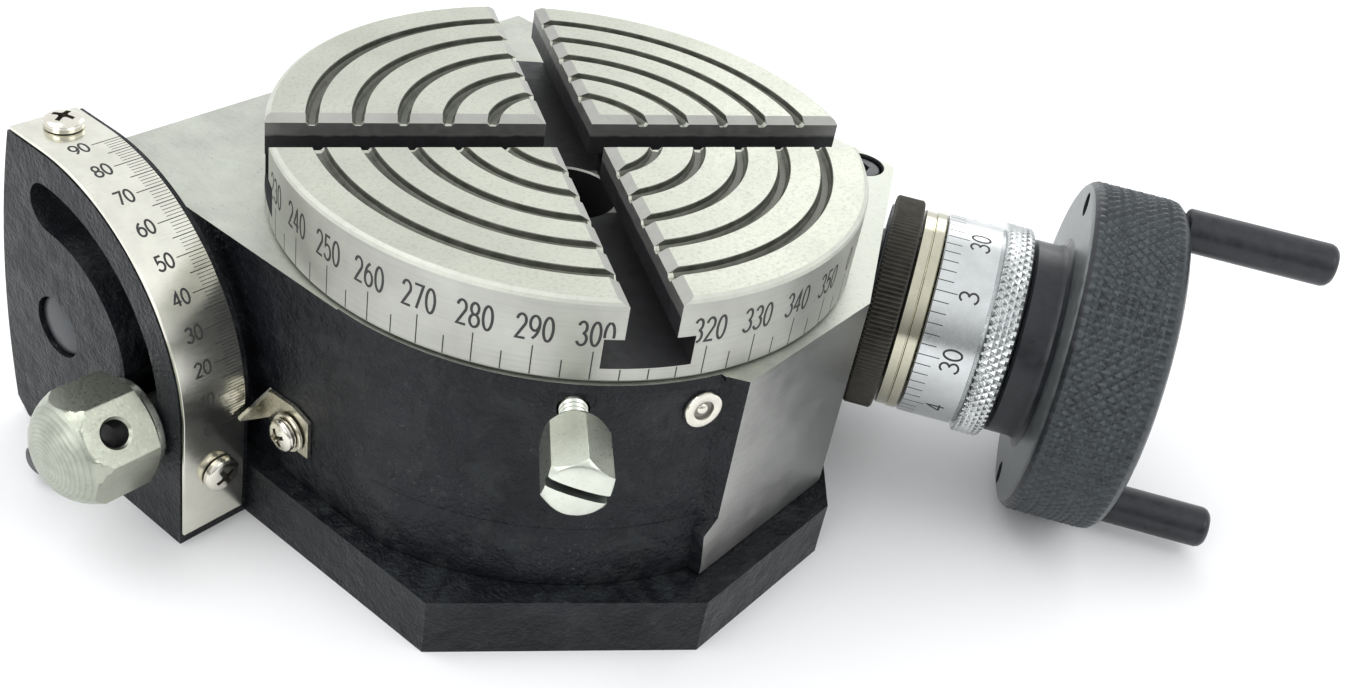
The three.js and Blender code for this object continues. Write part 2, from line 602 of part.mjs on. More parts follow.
// The thread is a cylinder whose surface rises and falls along a right-hand helix.
function wormThread() {
  const { crest, root, from, to } = WORM;
  const length = to - from;
  const stepsPerPitch = 5;
  const rows = Math.round((length / WORM_PITCH) * stepsPerPitch);
  const geometry = new THREE.CylinderGeometry(root, root, length, 12, rows).rotateX(Math.PI / 2);
  const place = geometry.attributes.position;
  for (let k = 0; k < place.count; k += 1) {
    const [x, y, z] = [place.getX(k), place.getY(k), place.getZ(k) + (from + to) / 2];
    const onRim = Math.hypot(x, y) > root * 0.5 && Math.abs(z - from) > 0.01 && Math.abs(z - to) > 0.01;
    if (onRim) {
      const turn = (Math.atan2(y, x) - Math.PI) / (2 * Math.PI);
      const phase = z / WORM_PITCH - turn;
      const off = Math.abs(phase - Math.round(phase)) * WORM_PITCH;
      const rise = THREE.MathUtils.clamp((0.475 - off) / 0.3, 0, 1);
      const scale = (root + (crest - root) * rise) / root;
      place.setXYZ(k, x * scale, y * scale, z);
    } else {
      place.setZ(k, z);
    }
  }
  return solid(geometry);
}

const wormShaft = () => join(
  wormThread(),
  turned([
    [0, S.shaftEnd], [3.4, S.shaftEnd], [3.4, WORM.to - 0.5], [3.8, WORM.to - 0.5], [3.8, 18],
    [5.1, 19], [5.1, S.web + 2], [3, S.web + 2], [3, 102], [0, 102],
  ], 20));

const indexCollar = () => ring(13.9, 18.95, S.collar, S.collarEnd, 28);

const dial = () => cut(
  turned([
    [0, S.dial], [19.05, S.dial], [19.05, S.dialStep], [18.3, S.dialStep + 0.2], [18.3, S.grip - 0.2],
    [19.6, S.grip], [20.2, S.grip + 0.6], [20.2, S.gripEnd - 1.2], [19.1, S.gripEnd], [0, S.gripEnd],
  ], 28),
  turned([
    [0, S.dial - EPS], [5.5, S.dial - EPS], [5.5, 70], [9, 70], [9, S.gripEnd + EPS], [0, S.gripEnd + EPS],
  ], 20));

// Bow-wire ring in the dial's recess; it holds the dial where it is turned to.
const dialSpring = () => ring(6, 8.4, 77.5, 79.5, 28);

function handlePlace(manifold, side) {
  const angle = rad(HANDLE.angle + 180 * side);
  return manifold.translate([HANDLE.circle * Math.cos(angle), HANDLE.circle * Math.sin(angle), 0]);
}

function handwheel() {
  const { web, rimEnd } = S;
  const R = HANDWHEEL_RADIUS;
  const body = turned([
    [0, S.hub], [HUB_RADIUS - 0.6, S.hub], [HUB_RADIUS, S.hub + 0.6], [HUB_RADIUS, web], [R - 1.6, web],
    [R - 0.4, web + 0.7], [R, web + 2.2], [R, rimEnd - 2.2], [R - 1, rimEnd - 0.5], [R - 2.6, rimEnd],
    [22.8, rimEnd], [21.5, web + 8], [10, web + 7], [9.5, web + 9], [0, web + 9],
  ], 32);
  const tapped = [0, 1].map((side) => handlePlace(disc(2.2, web - EPS, rimEnd + EPS, 14), side));
  const shaftHole = turned([
    [0, S.hub - EPS], [5.4, S.hub - EPS], [5.4, web + 2.4], [3.3, web + 2.4], [3.3, 105], [0, 105],
  ], 20);
  const keyway = box(-1.6, 1.6, 4, 7, S.hub - EPS, web + 1);
  return cut(body, shaftHole, keyway, ...tapped);
}

const handwheelKey = () => box(-1.3, 1.3, 5.3, 6.8, S.hub + 0.5, S.web + 0.8);
const handwheelWasher = () => ring(3.4, 7.5, 97.4, 98.6, 28);
const handwheelNut = () => cut(hexPrism(11, 98.9, 103.4), disc(3.3, 98, 104, 20));

function handle(side) {
  const r = HANDLE.radius;
  const start = S.rimEnd + GAP;
  const tip = HANDLE.tips[side];
  return handlePlace(turned([
    [0, S.web + 2], [1.9, S.web + 2], [1.9, start], [r, start], [r, tip - 1.2],
    [r * 0.72, tip - 0.2], [0, tip],
  ], 18), side);
}

function shaftGroup() {
  const group = new THREE.Group();
  group.applyMatrix4(shaftFrame);
  group.add(
    piece("eccentric_bush", eccentricBush(), blackOxide()),
    piece("index_collar", indexCollar(), groundSteel()),
    piece("worm_shaft", wormShaft(), groundSteel()),
    piece("micrometer_dial", dial(), satinChrome()),
    piece("dial_spring", dialSpring(), groundSteel()),
    piece("handwheel", handwheel(), blackOxide()),
    piece("handwheel_key", handwheelKey(), groundSteel()),
    piece("handwheel_washer", handwheelWasher(), blackOxide()),
    piece("handwheel_nut", handwheelNut(), blackOxide()),
    ...[0, 1].map((side) => piece(`handle_${side + 1}`, handle(side), blackOxide())));
  return group;
}

const rotaryTable = new THREE.Group();
rotaryTable.add(
  baseGroup(), housingGroup(),
  piece("table_clamp_bolt", clampBolt(), zincPlate()), piece("clamp_pad", clampPad(), bronze()),
  tableGroup(), shaftGroup());

export default rotaryTable;
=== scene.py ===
import json
import math

import bmesh
import bpy
import numpy as np
from mathutils import Matrix, Vector


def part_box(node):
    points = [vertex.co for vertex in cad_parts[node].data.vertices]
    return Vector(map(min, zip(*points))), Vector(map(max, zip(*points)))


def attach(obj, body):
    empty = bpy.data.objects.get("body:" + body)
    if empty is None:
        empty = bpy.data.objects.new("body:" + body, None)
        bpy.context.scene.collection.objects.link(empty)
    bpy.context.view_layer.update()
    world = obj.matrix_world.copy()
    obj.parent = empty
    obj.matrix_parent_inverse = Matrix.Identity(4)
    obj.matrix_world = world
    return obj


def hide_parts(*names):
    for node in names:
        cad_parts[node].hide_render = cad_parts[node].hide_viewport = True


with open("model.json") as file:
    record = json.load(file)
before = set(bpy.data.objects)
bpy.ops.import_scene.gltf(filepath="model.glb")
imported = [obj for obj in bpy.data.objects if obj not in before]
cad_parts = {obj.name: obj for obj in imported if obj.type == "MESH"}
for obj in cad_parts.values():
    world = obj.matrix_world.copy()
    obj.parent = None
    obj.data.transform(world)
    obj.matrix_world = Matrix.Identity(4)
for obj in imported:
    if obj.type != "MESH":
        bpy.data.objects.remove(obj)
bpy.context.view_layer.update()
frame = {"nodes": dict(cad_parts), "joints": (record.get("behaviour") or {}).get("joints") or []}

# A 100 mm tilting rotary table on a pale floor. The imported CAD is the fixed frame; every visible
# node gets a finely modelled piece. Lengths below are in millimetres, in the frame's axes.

MM = 0.001
rad = math.radians


def box_mm(node):
    low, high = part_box(node)
    return low / MM, high / MM


def middle(node):
    """The centre of a CAD node's box, as x, y, z."""
    low, high = box_mm(node)
    return [(a + b) / 2 for a, b in zip(low, high)]


def off_axis(point):
    """How far a point is from the local Z axis."""
    return math.hypot(point.x, point.y)


def spin(angle, axis):
    return Matrix.Rotation(rad(angle), 4, axis)


def upright(node):
    """A frame with Z up through the middle of a CAD node."""
    return Matrix.Translation((*middle(node)[:2], 0))


# ---------- places and sizes ----------

def joint(name):
    return next(j for j in frame["joints"] if j["name"] == name)


PIVOT = Vector(joint("tilt")["pos_m"]) / MM
STUD = Vector(joint("tilt_nut_turn")["pos_m"]) / MM
SHAFT_POINT = Vector(joint("handwheel_turn")["pos_m"]) / MM
SHAFT_DIRECTION = Vector(joint("handwheel_turn")["axis"]).normalized()
SHAFT_SIDE = Vector((-SHAFT_DIRECTION.y, SHAFT_DIRECTION.x, 0))
UP = Vector((0, 0, 1))

BASE_TOP = 11
LEFT_OUT, LEFT_IN = box_mm("base_casting")[0].x, -54.0
RIGHT_IN, RIGHT_OUT = 54.0, box_mm("base_casting")[1].x
QUADRANT_RADIUS, QUADRANT_FOOT = 32.7, 17.6
# The quadrant's front edge leans back by this share of its height below the pivot.
LEAN = (QUADRANT_FOOT - (PIVOT.y - QUADRANT_RADIUS)) / PIVOT.z
SLOT_RADIUS, SLOT_WIDTH, STUD_DROP = 22.8, 8.6, 14.0
STRIP_INNER, STRIP_OUTER = 32.95, 33.6
STRIP_LEFT, STRIP_RIGHT = -66.9, -55.3
STRIP_ZERO = 185.2

HOUSING_BOTTOM, HOUSING_TOP = 11.3, 50.3
HOUSING_LEFT, HOUSING_RIGHT, HOUSING_REAR, HOUSING_FRONT = -50.5, 50.5, 59.8, -51.5
WALL_RADIUS = 51.2
FACE_ANGLE = rad(27.2)
CORNER_X = 18.9
PAD_X = -14.9
OILER_ANGLE, OILER_Z = 247, 45.3
CLAMP_ANGLE, CLAMP_Z = 224.3, 46.4

TABLE_RADIUS, TABLE_BOTTOM, TABLE_TOP, TABLE_BORE = 50.0, 50.6, 65.0, 8.5
SLOT_ANGLE = 55.8
GROOVES = [13.7 + 7.25 * k for k in range(5)]
ZERO_MARK = -73.7

NECK, RING, RING_END = 54.7, 55.1, 60.5
COLLAR, COLLAR_END = 60.9, 65.0
DIAL, DIAL_STEP, GRIP, GRIP_END = 65.3, 75.2, 76.0, 81.2
DIAL_RADIUS, DIAL_ZERO = 19.05, 135.15
HUB, WEB, RIM_END = 81.6, 88.1, 105.6
WHEEL_RADIUS, HUB_RADIUS = 31.6, 18.4
HANDLE_RADIUS, HANDLE_CIRCLE, HANDLE_ANGLE, HANDLE_TIPS = 3.9, 27.4, 75.0, (132.6, 128.2)

# Local Z of these frames is the axis of the turned pieces that are placed with them.
SHAFT = (Matrix.Translation(SHAFT_POINT)
         @ Matrix((SHAFT_SIDE, UP, SHAFT_DIRECTION)).transposed().to_4x4())


def outward_x(y, z, direction):
    """A frame whose local Z is +X or -X, through (0, y, z)."""
    return Matrix.Translation((0, y, z)) @ spin(90 * direction, "Y")


def on_radius(angle, z):
    """A frame whose local Z points away from the table's axis."""
    return Matrix.Translation((0, 0, z)) @ spin(angle, "Z") @ spin(90, "Y")


# ---------- camera, floor and light ----------

def camera():
    azimuth, elevation, roll = (rad(a) for a in (-57.19, 34.93, 11.06))
    back = Vector((math.sin(azimuth) * math.cos(elevation), -math.cos(azimuth) * math.cos(elevation),
                   math.sin(elevation)))
    right = (-back).cross(UP).normalized()
    up = right.cross(-back)
    tilted_right = math.cos(roll) * right + math.sin(roll) * up
    tilted_up = -math.sin(roll) * right + math.cos(roll) * up
    data = bpy.data.cameras.new("camera")
    data.sensor_width = 36
    data.lens = 39.357
    data.shift_x = 0.0055
    data.shift_y = -0.0014
    data.clip_start = 0.01
    cam = bpy.data.objects.new("camera", data)
    bpy.context.scene.collection.objects.link(cam)
    turn = Matrix((tilted_right, tilted_up, back)).transposed().to_4x4()
    cam.matrix_world = Matrix.Translation(Vector((-172.96, -137.48, 179.91)) * MM) @ turn
    bpy.context.scene.camera = cam


def area_light(name, place, aim, size, power):
    data = bpy.data.lights.new(name, "AREA")
    data.shape = "RECTANGLE"
    data.size, data.size_y = size[0] * MM, size[1] * MM
    data.energy = power
    lamp = bpy.data.objects.new(name, data)
    bpy.context.scene.collection.objects.link(lamp)
    lamp.location = Vector(place) * MM
    lamp.rotation_mode = "QUATERNION"
    lamp.rotation_quaternion = (Vector(aim) - Vector(place)).to_track_quat("-Z", "Y")


def studio():
    world = bpy.data.worlds.new("studio")
    world.use_nodes = True
    bpy.context.scene.world = world
    tree = world.node_tree
    toward = tree.nodes.new("ShaderNodeVectorMath")
    toward.operation = "DOT_PRODUCT"
    toward.inputs[1].default_value = (-0.62, -0.62, -0.48)
    tree.links.new(tree.nodes.new("ShaderNodeTexCoord").outputs["Generated"], toward.inputs[0])
    dim = tree.nodes.new("ShaderNodeMapRange")
    dim.interpolation_type = "SMOOTHSTEP"
    for key, value in (("From Min", 0.1), ("From Max", 0.95), ("To Min", 1.12), ("To Max", 0.25)):
        dim.inputs[key].default_value = value
    tree.links.new(toward.outputs["Value"], dim.inputs["Value"])
    tree.links.new(dim.outputs["Result"], tree.nodes["Background"].inputs["Strength"])
    tree.nodes["Background"].inputs["Color"].default_value = (0.97, 0.985, 1.0, 1)
    area_light("soft_right", (470, 150, 300), (0, 0, 60), (260, 260), 0.34)
    area_light("soft_top", (-260, 260, 600), (0, 0, 30), (420, 420), 1.1)
    area_light("soft_front", (60, -640, 560), (0, -160, 0), (420, 420), 0.9)
    area_light("soft_left", (-560, -60, 330), (-40, 0, 30), (300, 300), 0.6)
    bpy.context.scene.view_settings.view_transform = "Standard"

    mesh = bpy.data.meshes.new("floor")
    half = 3000 * MM
    corners = [(-half, -half, 0), (half, -half, 0), (half, half, 0), (-half, half, 0)]
    mesh.from_pydata(corners, [], [(0, 1, 2, 3)])
    floor = bpy.data.objects.new("floor", mesh)
    bpy.context.scene.collection.objects.link(floor)
    made = Shader("floor_white")
    made.surface(color=(0.95, 0.95, 0.955), roughness=0.8)
    mesh.materials.append(made.material)


# ---------- node materials ----------

class Shader:
    """A small helper around one material's node tree; textures use object coordinates."""

    def __init__(self, name):
        self.material = bpy.data.materials.new(name)
        self.material.use_nodes = True
        self.tree = self.material.node_tree
        self.principled = self.tree.nodes["Principled BSDF"]
        self.place = self.tree.nodes.new("ShaderNodeTexCoord").outputs["Object"]

    def link(self, value, socket):
        if isinstance(value, bpy.types.NodeSocket):
            self.tree.links.new(value, socket)
        else:
            socket.default_value = value

    def add(self, kind, **values):
        """A new node with the named inputs set or linked; an underscore stands for a space."""
        made = self.tree.nodes.new("ShaderNode" + kind)
        for key, value in values.items():
            self.link(value, made.inputs[key.replace("_", " ")])
        return made

    def stretched(self, streak):
        """Object coordinates that draw a texture out along each axis by streak."""
        scale = [1 / k for k in streak]
        return self.add("Mapping", Scale=scale, Vector=self.place).outputs["Vector"]

    def noise(self, size_mm, detail=3, rough=0.5, vector=None, distortion=0.0):
        return self.add("TexNoise", Scale=1 / (size_mm * MM), Detail=detail, Roughness=rough,
                        Distortion=distortion, Vector=vector or self.place).outputs["Fac"]

    def math(self, operation, a, b=0.0):
        node = self.tree.nodes.new("ShaderNodeMath")
        node.operation = operation
        self.link(a, node.inputs[0])
        self.link(b, node.inputs[1])
        return node.outputs[0]

    def times(self, a, b):
        return self.math("MULTIPLY", a, b)

    def plus(self, a, b):
        return self.math("ADD", a, b)

    def axis(self, name):
        return self.add("SeparateXYZ", Vector=self.place).outputs[name]

    def rings(self, u, v, pitch_mm, wobble):
        """Waves around the point where u and v are 0; wobble is a noise's size and share, in mm."""
        radius = self.math("SQRT", self.plus(self.times(u, u), self.times(v, v)))
        uneven = self.plus(radius, self.times(self.noise(wobble[0], 2, 0.5), wobble[1] * MM))
        return self.math("SINE", self.times(uneven, 2 * math.pi / (pitch_mm * MM)))

    def fade(self, value, low=0.3, high=0.7, out_low=0.0, out_high=1.0):
        return self.add("MapRange", Value=value, From_Min=low, From_Max=high, To_Min=out_low,
                        To_Max=out_high).outputs["Result"]

    def between(self, value, out_low, out_high):
        return self.fade(value, out_low=out_low, out_high=out_high)

    def blend(self, share, a, b):
        node = self.tree.nodes.new("ShaderNodeMix")
        node.data_type = "RGBA"
        self.link(share, node.inputs["Factor"])
        for value, socket in ((a, node.inputs["A"]), (b, node.inputs["B"])):
            self.link(value if isinstance(value, bpy.types.NodeSocket) else (*value, 1), socket)
        return node.outputs["Result"]

    def bump(self, height, distance_mm, strength=1.0, below=None):
        node = self.add("Bump", Distance=distance_mm * MM, Strength=strength, Height=height)
        if below is not None:
            self.link(below, node.inputs["Normal"])
        return node.outputs["Normal"]

    def surface(self, color, roughness, metallic=0.0, normal=None, specular=0.5):
        sockets = self.principled.inputs
        self.link(color if isinstance(color, bpy.types.NodeSocket) else (*color, 1), sockets["Base Color"])
        self.link(roughness, sockets["Roughness"])
        self.link(metallic, sockets["Metallic"])
        sockets["Specular IOR Level"].default_value = specular
        if normal is not None:
            self.link(normal, sockets["Normal"])
        return self.material


def scaled(tone, share):
    return tuple(share * k for k in tone)


def enamel(name, worn=0.0):
    """Black enamel over a sand-cast skin, with stains and, on edges, chips down to the iron."""
    s = Shader(name)
    coarse = s.noise(3.4, 4, 0.62)
    grain = s.noise(0.7, 3, 0.6)
    blotch = s.noise(11, 4, 0.65)
    stain = s.fade(s.noise(7, 5, 0.7, distortion=0.6), 0.50, 0.62)
    dust = s.fade(s.noise(0.9, 2, 0.7), 0.62, 0.72)
    dust = s.times(dust, s.fade(blotch, 0.45, 0.65))
    color = s.blend(s.fade(blotch), (0.0035, 0.0040, 0.0055), (0.0125, 0.0140, 0.0170))
    color = s.blend(s.times(stain, 0.85), color, (0.019, 0.022, 0.024))
    color = s.blend(s.times(dust, 0.35), color, (0.13, 0.13, 0.13))
    metallic = 0.0
    if worn:
        chips = s.fade(s.noise(1.7, 4, 0.8), 0.64 - worn * 0.10, 0.67 - worn * 0.10)
        chips = s.times(chips, s.fade(blotch, 0.38, 0.52))
        color = s.blend(chips, color, (0.42, 0.41, 0.38))
        metallic = s.times(chips, 0.6)
    normal = s.bump(s.plus(coarse, s.times(grain, 0.4)), 0.85, 0.9)
    roughness = s.plus(s.between(coarse, 0.28, 0.44), s.times(stain, 0.12))
    return s.surface(color, roughness, metallic, normal, specular=0.22)


def milled(name, tone=(0.55, 0.57, 0.50), streak=(0.08, 3.0, 1.0), rough=0.40, shade=None):
    """Bare machined iron with fine cutter marks; painted shade can darken it between two places along X."""
    s = Shader(name)
    marks = s.noise(1.0, 3, 0.6, s.stretched(streak))
    cloud = s.noise(9, 4, 0.6)
    speck = s.fade(s.noise(0.5, 2, 0.5), 0.62, 0.75)
    color = s.blend(s.fade(cloud), scaled(tone, 0.72), tone)
    color = s.blend(s.times(speck, 0.35), color, (0.10, 0.10, 0.10))
    color = s.blend(s.fade(marks, 0.35, 0.7, 0.0, 0.25), color, (0.85, 0.85, 0.82))
    if shade:
        # Painted shade: the colour darkens along X, from none at shade[0] to most at shade[1].
        shade_ramp_x = s.plus(s.axis("X"), s.times(s.noise(12, 3, 0.6), 0.008))
        painted_shade_share = s.fade(shade_ramp_x, shade[0] * MM, shade[1] * MM, 0.0, 0.62)
        color = s.blend(painted_shade_share, color, (0.07, 0.08, 0.085))
    roughness = s.plus(s.between(cloud, rough - 0.05, rough + 0.08), s.between(marks, 0, 0.08))
    return s.surface(color, roughness, 0.85, s.bump(marks, 0.02, 0.5))


def turned_steel(name):
    """A faced surface: fine rings about the table's axis."""
    s = Shader(name)
    tone = (0.55, 0.565, 0.485)
    rings = s.rings(s.axis("X"), s.axis("Y"), 0.42, (6, 0.4))
    grain = s.noise(0.7, 4, 0.75)
    cloud = s.noise(16, 3, 0.6)
    color = s.blend(s.fade(cloud, 0.35, 0.65), scaled(tone, 0.88), tone)
    color = s.blend(s.fade(grain, 0.50, 0.72, 0.0, 0.5), color, scaled(tone, 0.55))
    roughness = s.between(grain, 0.36, 0.50)
    return s.surface(color, roughness, 0.8, s.bump(rings, 0.004, 0.5, s.bump(grain, 0.05, 0.6)))


def rim_steel(name):
    """The table's rim: turned, with faint lines that run around it."""
    s = Shader(name)
    lines = s.noise(1.0, 3, 0.6, s.stretched((20, 20, 0.2)))
    patches = s.noise(11, 3, 0.6)
    color = s.blend(s.fade(patches), (0.40, 0.405, 0.365), (0.50, 0.505, 0.465))
    color = s.blend(s.fade(lines, 0.5, 0.75, 0, 0.25), color, (0.28, 0.28, 0.27))
    roughness = s.between(lines, 0.36, 0.46)
    return s.surface(color, roughness, 0.75, s.bump(lines, 0.012, 0.4))


def slot_steel(name):
    """T-slot walls: bright for the first few millimetres, near-black painted shade below."""
    s = Shader(name)
    height = s.plus(s.axis("Z"), s.times(s.noise(2, 2, 0.5), 0.0006))
    # Painted shade: below about 62 mm the walls turn near-black, deep in the slot.
    bright = s.fade(height, 61.9 * MM, 62.5 * MM)
    color = s.blend(s.noise(5, 3, 0.6), (0.010, 0.010, 0.011), (0.022, 0.022, 0.024))
    color = s.blend(bright, color, (0.26, 0.26, 0.25))
    roughness = s.between(s.noise(1.5, 3, 0.6), 0.42, 0.6)
    normal = s.bump(s.noise(0.8, 3, 0.6), 0.04, 0.4)
    return s.surface(color, roughness, s.times(bright, 0.8), normal)


def dark_steel(name, tone=(0.055, 0.056, 0.05), rough=0.45, metallic=0.6):
    """Unpolished or blackened steel."""
    s = Shader(name)
    cloud = s.noise(2.5, 4, 0.65)
    color = s.blend(s.fade(cloud, 0.3, 0.75), scaled(tone, 0.65), scaled(tone, 1.35))
    roughness = s.between(cloud, rough - 0.08, rough + 0.08)
    return s.surface(color, roughness, metallic, s.bump(s.noise(0.35, 2, 0.5), 0.02, 0.35))


def bright_metal(name, tone, rough, spread=0.1, grain_mm=0.9, depth_mm=0.015, metallic=1.0,
                 streak=(1.0, 1.0, 1.0)):
    """Plated or polished metal: small tone and roughness changes, and a fine uneven skin."""
    s = Shader(name)
    cloud = s.noise(4.5, 4, 0.6)
    grain = s.noise(grain_mm, 3, 0.6, s.stretched(streak))
    color = s.blend(s.fade(cloud), scaled(tone, 0.86), tone)
    color = s.blend(s.fade(grain, 0.62, 0.8, 0, 0.4), color, scaled(tone, 0.5))
    roughness = s.between(grain, rough - spread / 2, rough + spread / 2)
    return s.surface(color, roughness, metallic, s.bump(grain, depth_mm, 0.5))


def ringed_zinc(name):
    """Zinc plate over a dome turned in a lathe: rings about the clamp stud's axis."""
    s = Shader(name)
    y = s.math("SUBTRACT", s.axis("Y"), STUD.y * MM)
    z = s.math("SUBTRACT", s.axis("Z"), STUD.z * MM)
    rings = s.rings(y, z, 0.62, (3, 0.3))
    cloud = s.noise(2.5, 4, 0.65)
    color = s.blend(s.fade(cloud), (0.34, 0.36, 0.30), (0.50, 0.52, 0.45))
    color = s.blend(s.fade(rings, 0.2, 1.0, 0, 0.30), color, (0.22, 0.23, 0.20))
    normal = s.bump(rings, 0.02, 0.7, s.bump(s.noise(0.8, 3, 0.6), 0.04, 0.4))
    return s.surface(color, s.between(cloud, 0.36, 0.5), 1.0, normal)


def ink(name):
    s = Shader(name)
    color = s.blend(s.noise(0.3, 2, 0.5), (0.012, 0.012, 0.012), (0.04, 0.04, 0.038))
    return s.surface(color, s.between(s.noise(0.4, 2), 0.5, 0.7))


# ---------- mesh helpers ----------

def arc(cx, cy, rx, ry, start, end, steps=12):
    return [(cx + rx * math.cos(rad(a)), cy + ry * math.sin(rad(a)))
            for a in np.linspace(start, end, steps)]


def pivot_arc(radius, start, end, steps):
    """An arc about the tilt axis, in (y, z)."""
    return arc(PIVOT.y, PIVOT.z, radius, radius, start, end, steps)


def object_of(bm):
    bmesh.ops.recalc_face_normals(bm, faces=bm.faces)
    mesh = bpy.data.meshes.new("piece")
    bm.to_mesh(mesh)
    bm.free()
    made = bpy.data.objects.new("piece", mesh)
    bpy.context.scene.collection.objects.link(made)
    return made


def turned(profile, segments=96, relief=None):
    """Turns [radius, height] points about Z. relief(angle, radius, height) adds to the radius."""
    bm = bmesh.new()
    rings = []
    for r, z in profile:
        if r == 0:
            rings.append([bm.verts.new((0, 0, z))])
            continue
        ring = []
        for k in range(segments):
            a = 2 * math.pi * k / segments
            radius = r + (relief(a, r, z) if relief else 0)
            ring.append(bm.verts.new((radius * math.cos(a), radius * math.sin(a), z)))
        rings.append(ring)
    closed = profile[0][0] > 0
    pairs = list(zip(rings, rings[1:])) + ([(rings[-1], rings[0])] if closed else [])
    for low, high in pairs:
        if len(low) == 1 and len(high) == 1:
            continue
        for k in range(segments):
            n = (k + 1) % segments
            if len(low) == 1:
                bm.faces.new((low[0], high[k], high[n]))
            elif len(high) == 1:
                bm.faces.new((low[k], high[0], low[n]))
            else:
                bm.faces.new((low[k], high[k], high[n], low[n]))
    return object_of(bm)


def prism(outline, low, high, matrix=None):
    """Raises an XY outline from one height to another."""
    bm = bmesh.new()
    bottom = [bm.verts.new((x, y, low)) for x, y in outline]
    top = [bm.verts.new((x, y, high)) for x, y in outline]
    bm.faces.new(bottom)
    bm.faces.new(top)
    for k in range(len(outline)):
        n = (k + 1) % len(outline)
        bm.faces.new((bottom[k], bottom[n], top[n], top[k]))
    if matrix is not None:
        bm.transform(matrix)
    return object_of(bm)


# An outline in (y, z), raised along X.
ALONG_X = Matrix(((0, 0, 1, 0), (1, 0, 0, 0), (0, 1, 0, 0), (0, 0, 0, 1)))


def block(x0, x1, y0, y1, z0, z1):
    return prism([(x0, y0), (x1, y0), (x1, y1), (x0, y1)], z0, z1)


def moved(obj, matrix):
    obj.data.transform(matrix)
    return obj


def cylinder(radius, low, high, matrix=None, segments=64):
    made = turned([(0, low), (radius, low), (radius, high), (0, high)], segments)
    return moved(made, matrix) if matrix is not None else made


def washer(inner, outer, low, high, edge, segments=64):
    """A flat ring with its outer edges broken."""
    return turned([(inner, low), (outer - edge, low), (outer, low + edge), (outer, high - edge),
                   (outer - edge, high), (inner, high)], segments)


def apply_modifiers(obj):
    graph = bpy.context.evaluated_depsgraph_get()
    mesh = bpy.data.meshes.new_from_object(obj.evaluated_get(graph))
    obj.modifiers.clear()
    old = obj.data
    obj.data = mesh
    bpy.data.meshes.remove(old)
    return obj


def combine(obj, operation, *tools):
    for tool in tools:
        change = obj.modifiers.new("change", "BOOLEAN")
        change.operation = operation
        change.solver = "EXACT"
        change.object = tool
    apply_modifiers(obj)
    for tool in tools:
        bpy.data.objects.remove(tool)
    return obj


def cut(obj, *tools):
    return combine(obj, "DIFFERENCE", *tools)


def join(obj, *tools):
    return combine(obj, "UNION", *tools)


def use_slots(obj, count):
    while len(obj.data.materials) < count:
        obj.data.materials.append(None)


def soften(obj, width, segments=2, angle=35, material=-1):
    use_slots(obj, material + 1)
    change = obj.modifiers.new("edges", "BEVEL")
    change.width = width
    change.segments = segments
    change.limit_method = "ANGLE"
    change.angle_limit = rad(angle)
    change.material = material
    change.use_clamp_overlap = True
    return apply_modifiers(obj)


def paint(obj, index, test):
    """Gives the faces that pass test(centre, normal) one of the object's materials."""
    use_slots(obj, index + 1)
    for face in obj.data.polygons:
        if test(face.center, face.normal):
            face.material_index = index


def finish(obj, name, body, materials, slot=None, replaces=(), matrix=None, smooth=35):
    """Names the piece, turns millimetres into metres and hands it to its body."""
    obj.name = name
    if matrix is not None:
        obj.data.transform(matrix)
    obj.data.transform(Matrix.Scale(MM, 4))
    use_slots(obj, len(materials))
    for k, material in enumerate(materials):
        obj.data.materials[k] = material
    obj.data.shade_smooth()
    obj.data.set_sharp_from_angle(angle=rad(smooth))
    change = obj.modifiers.new("normals", "WEIGHTED_NORMAL")
    change.keep_sharp = True
    apply_modifiers(obj)
    obj.data.name = name
    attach(obj, body)
    if replaces:
        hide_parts(*replaces)
    return obj


# ---------- engraved marks ----------

DIGITS = {
    "0": [arc(.26, .5, .25, .5, 90, 450, 28)],
    "1": [[(.08, .80), (.30, 1), (.30, 0)]],
    "2": [arc(.26, .73, .24, .27, 170, -30, 14) + [(.02, 0), (.52, 0)]],
    "3": [arc(.25, .75, .22, .25, 160, -80, 14), arc(.25, .26, .26, .26, 85, -160, 16)],
    "4": [[(.38, 0), (.38, 1), (0, .28), (.54, .28)]],
    "5": [[(.47, 1), (.10, 1), (.05, .52)] + arc(.24, .32, .27, .32, 125, -155, 16)],
    "6": [arc(.26, .31, .25, .31, 90, 450, 24), arc(.56, .33, .55, .68, 112, 178, 8)],
    "7": [[(.01, 1), (.52, 1), (.17, 0)]],
    "8": [arc(.26, .76, .21, .24, 90, 450, 22), arc(.26, .26, .25, .26, 90, 450, 24)],
    "9": [arc(.26, .69, .25, .31, 90, 450, 24), arc(-.04, .67, .55, .68, -68, -2, 8)],
}


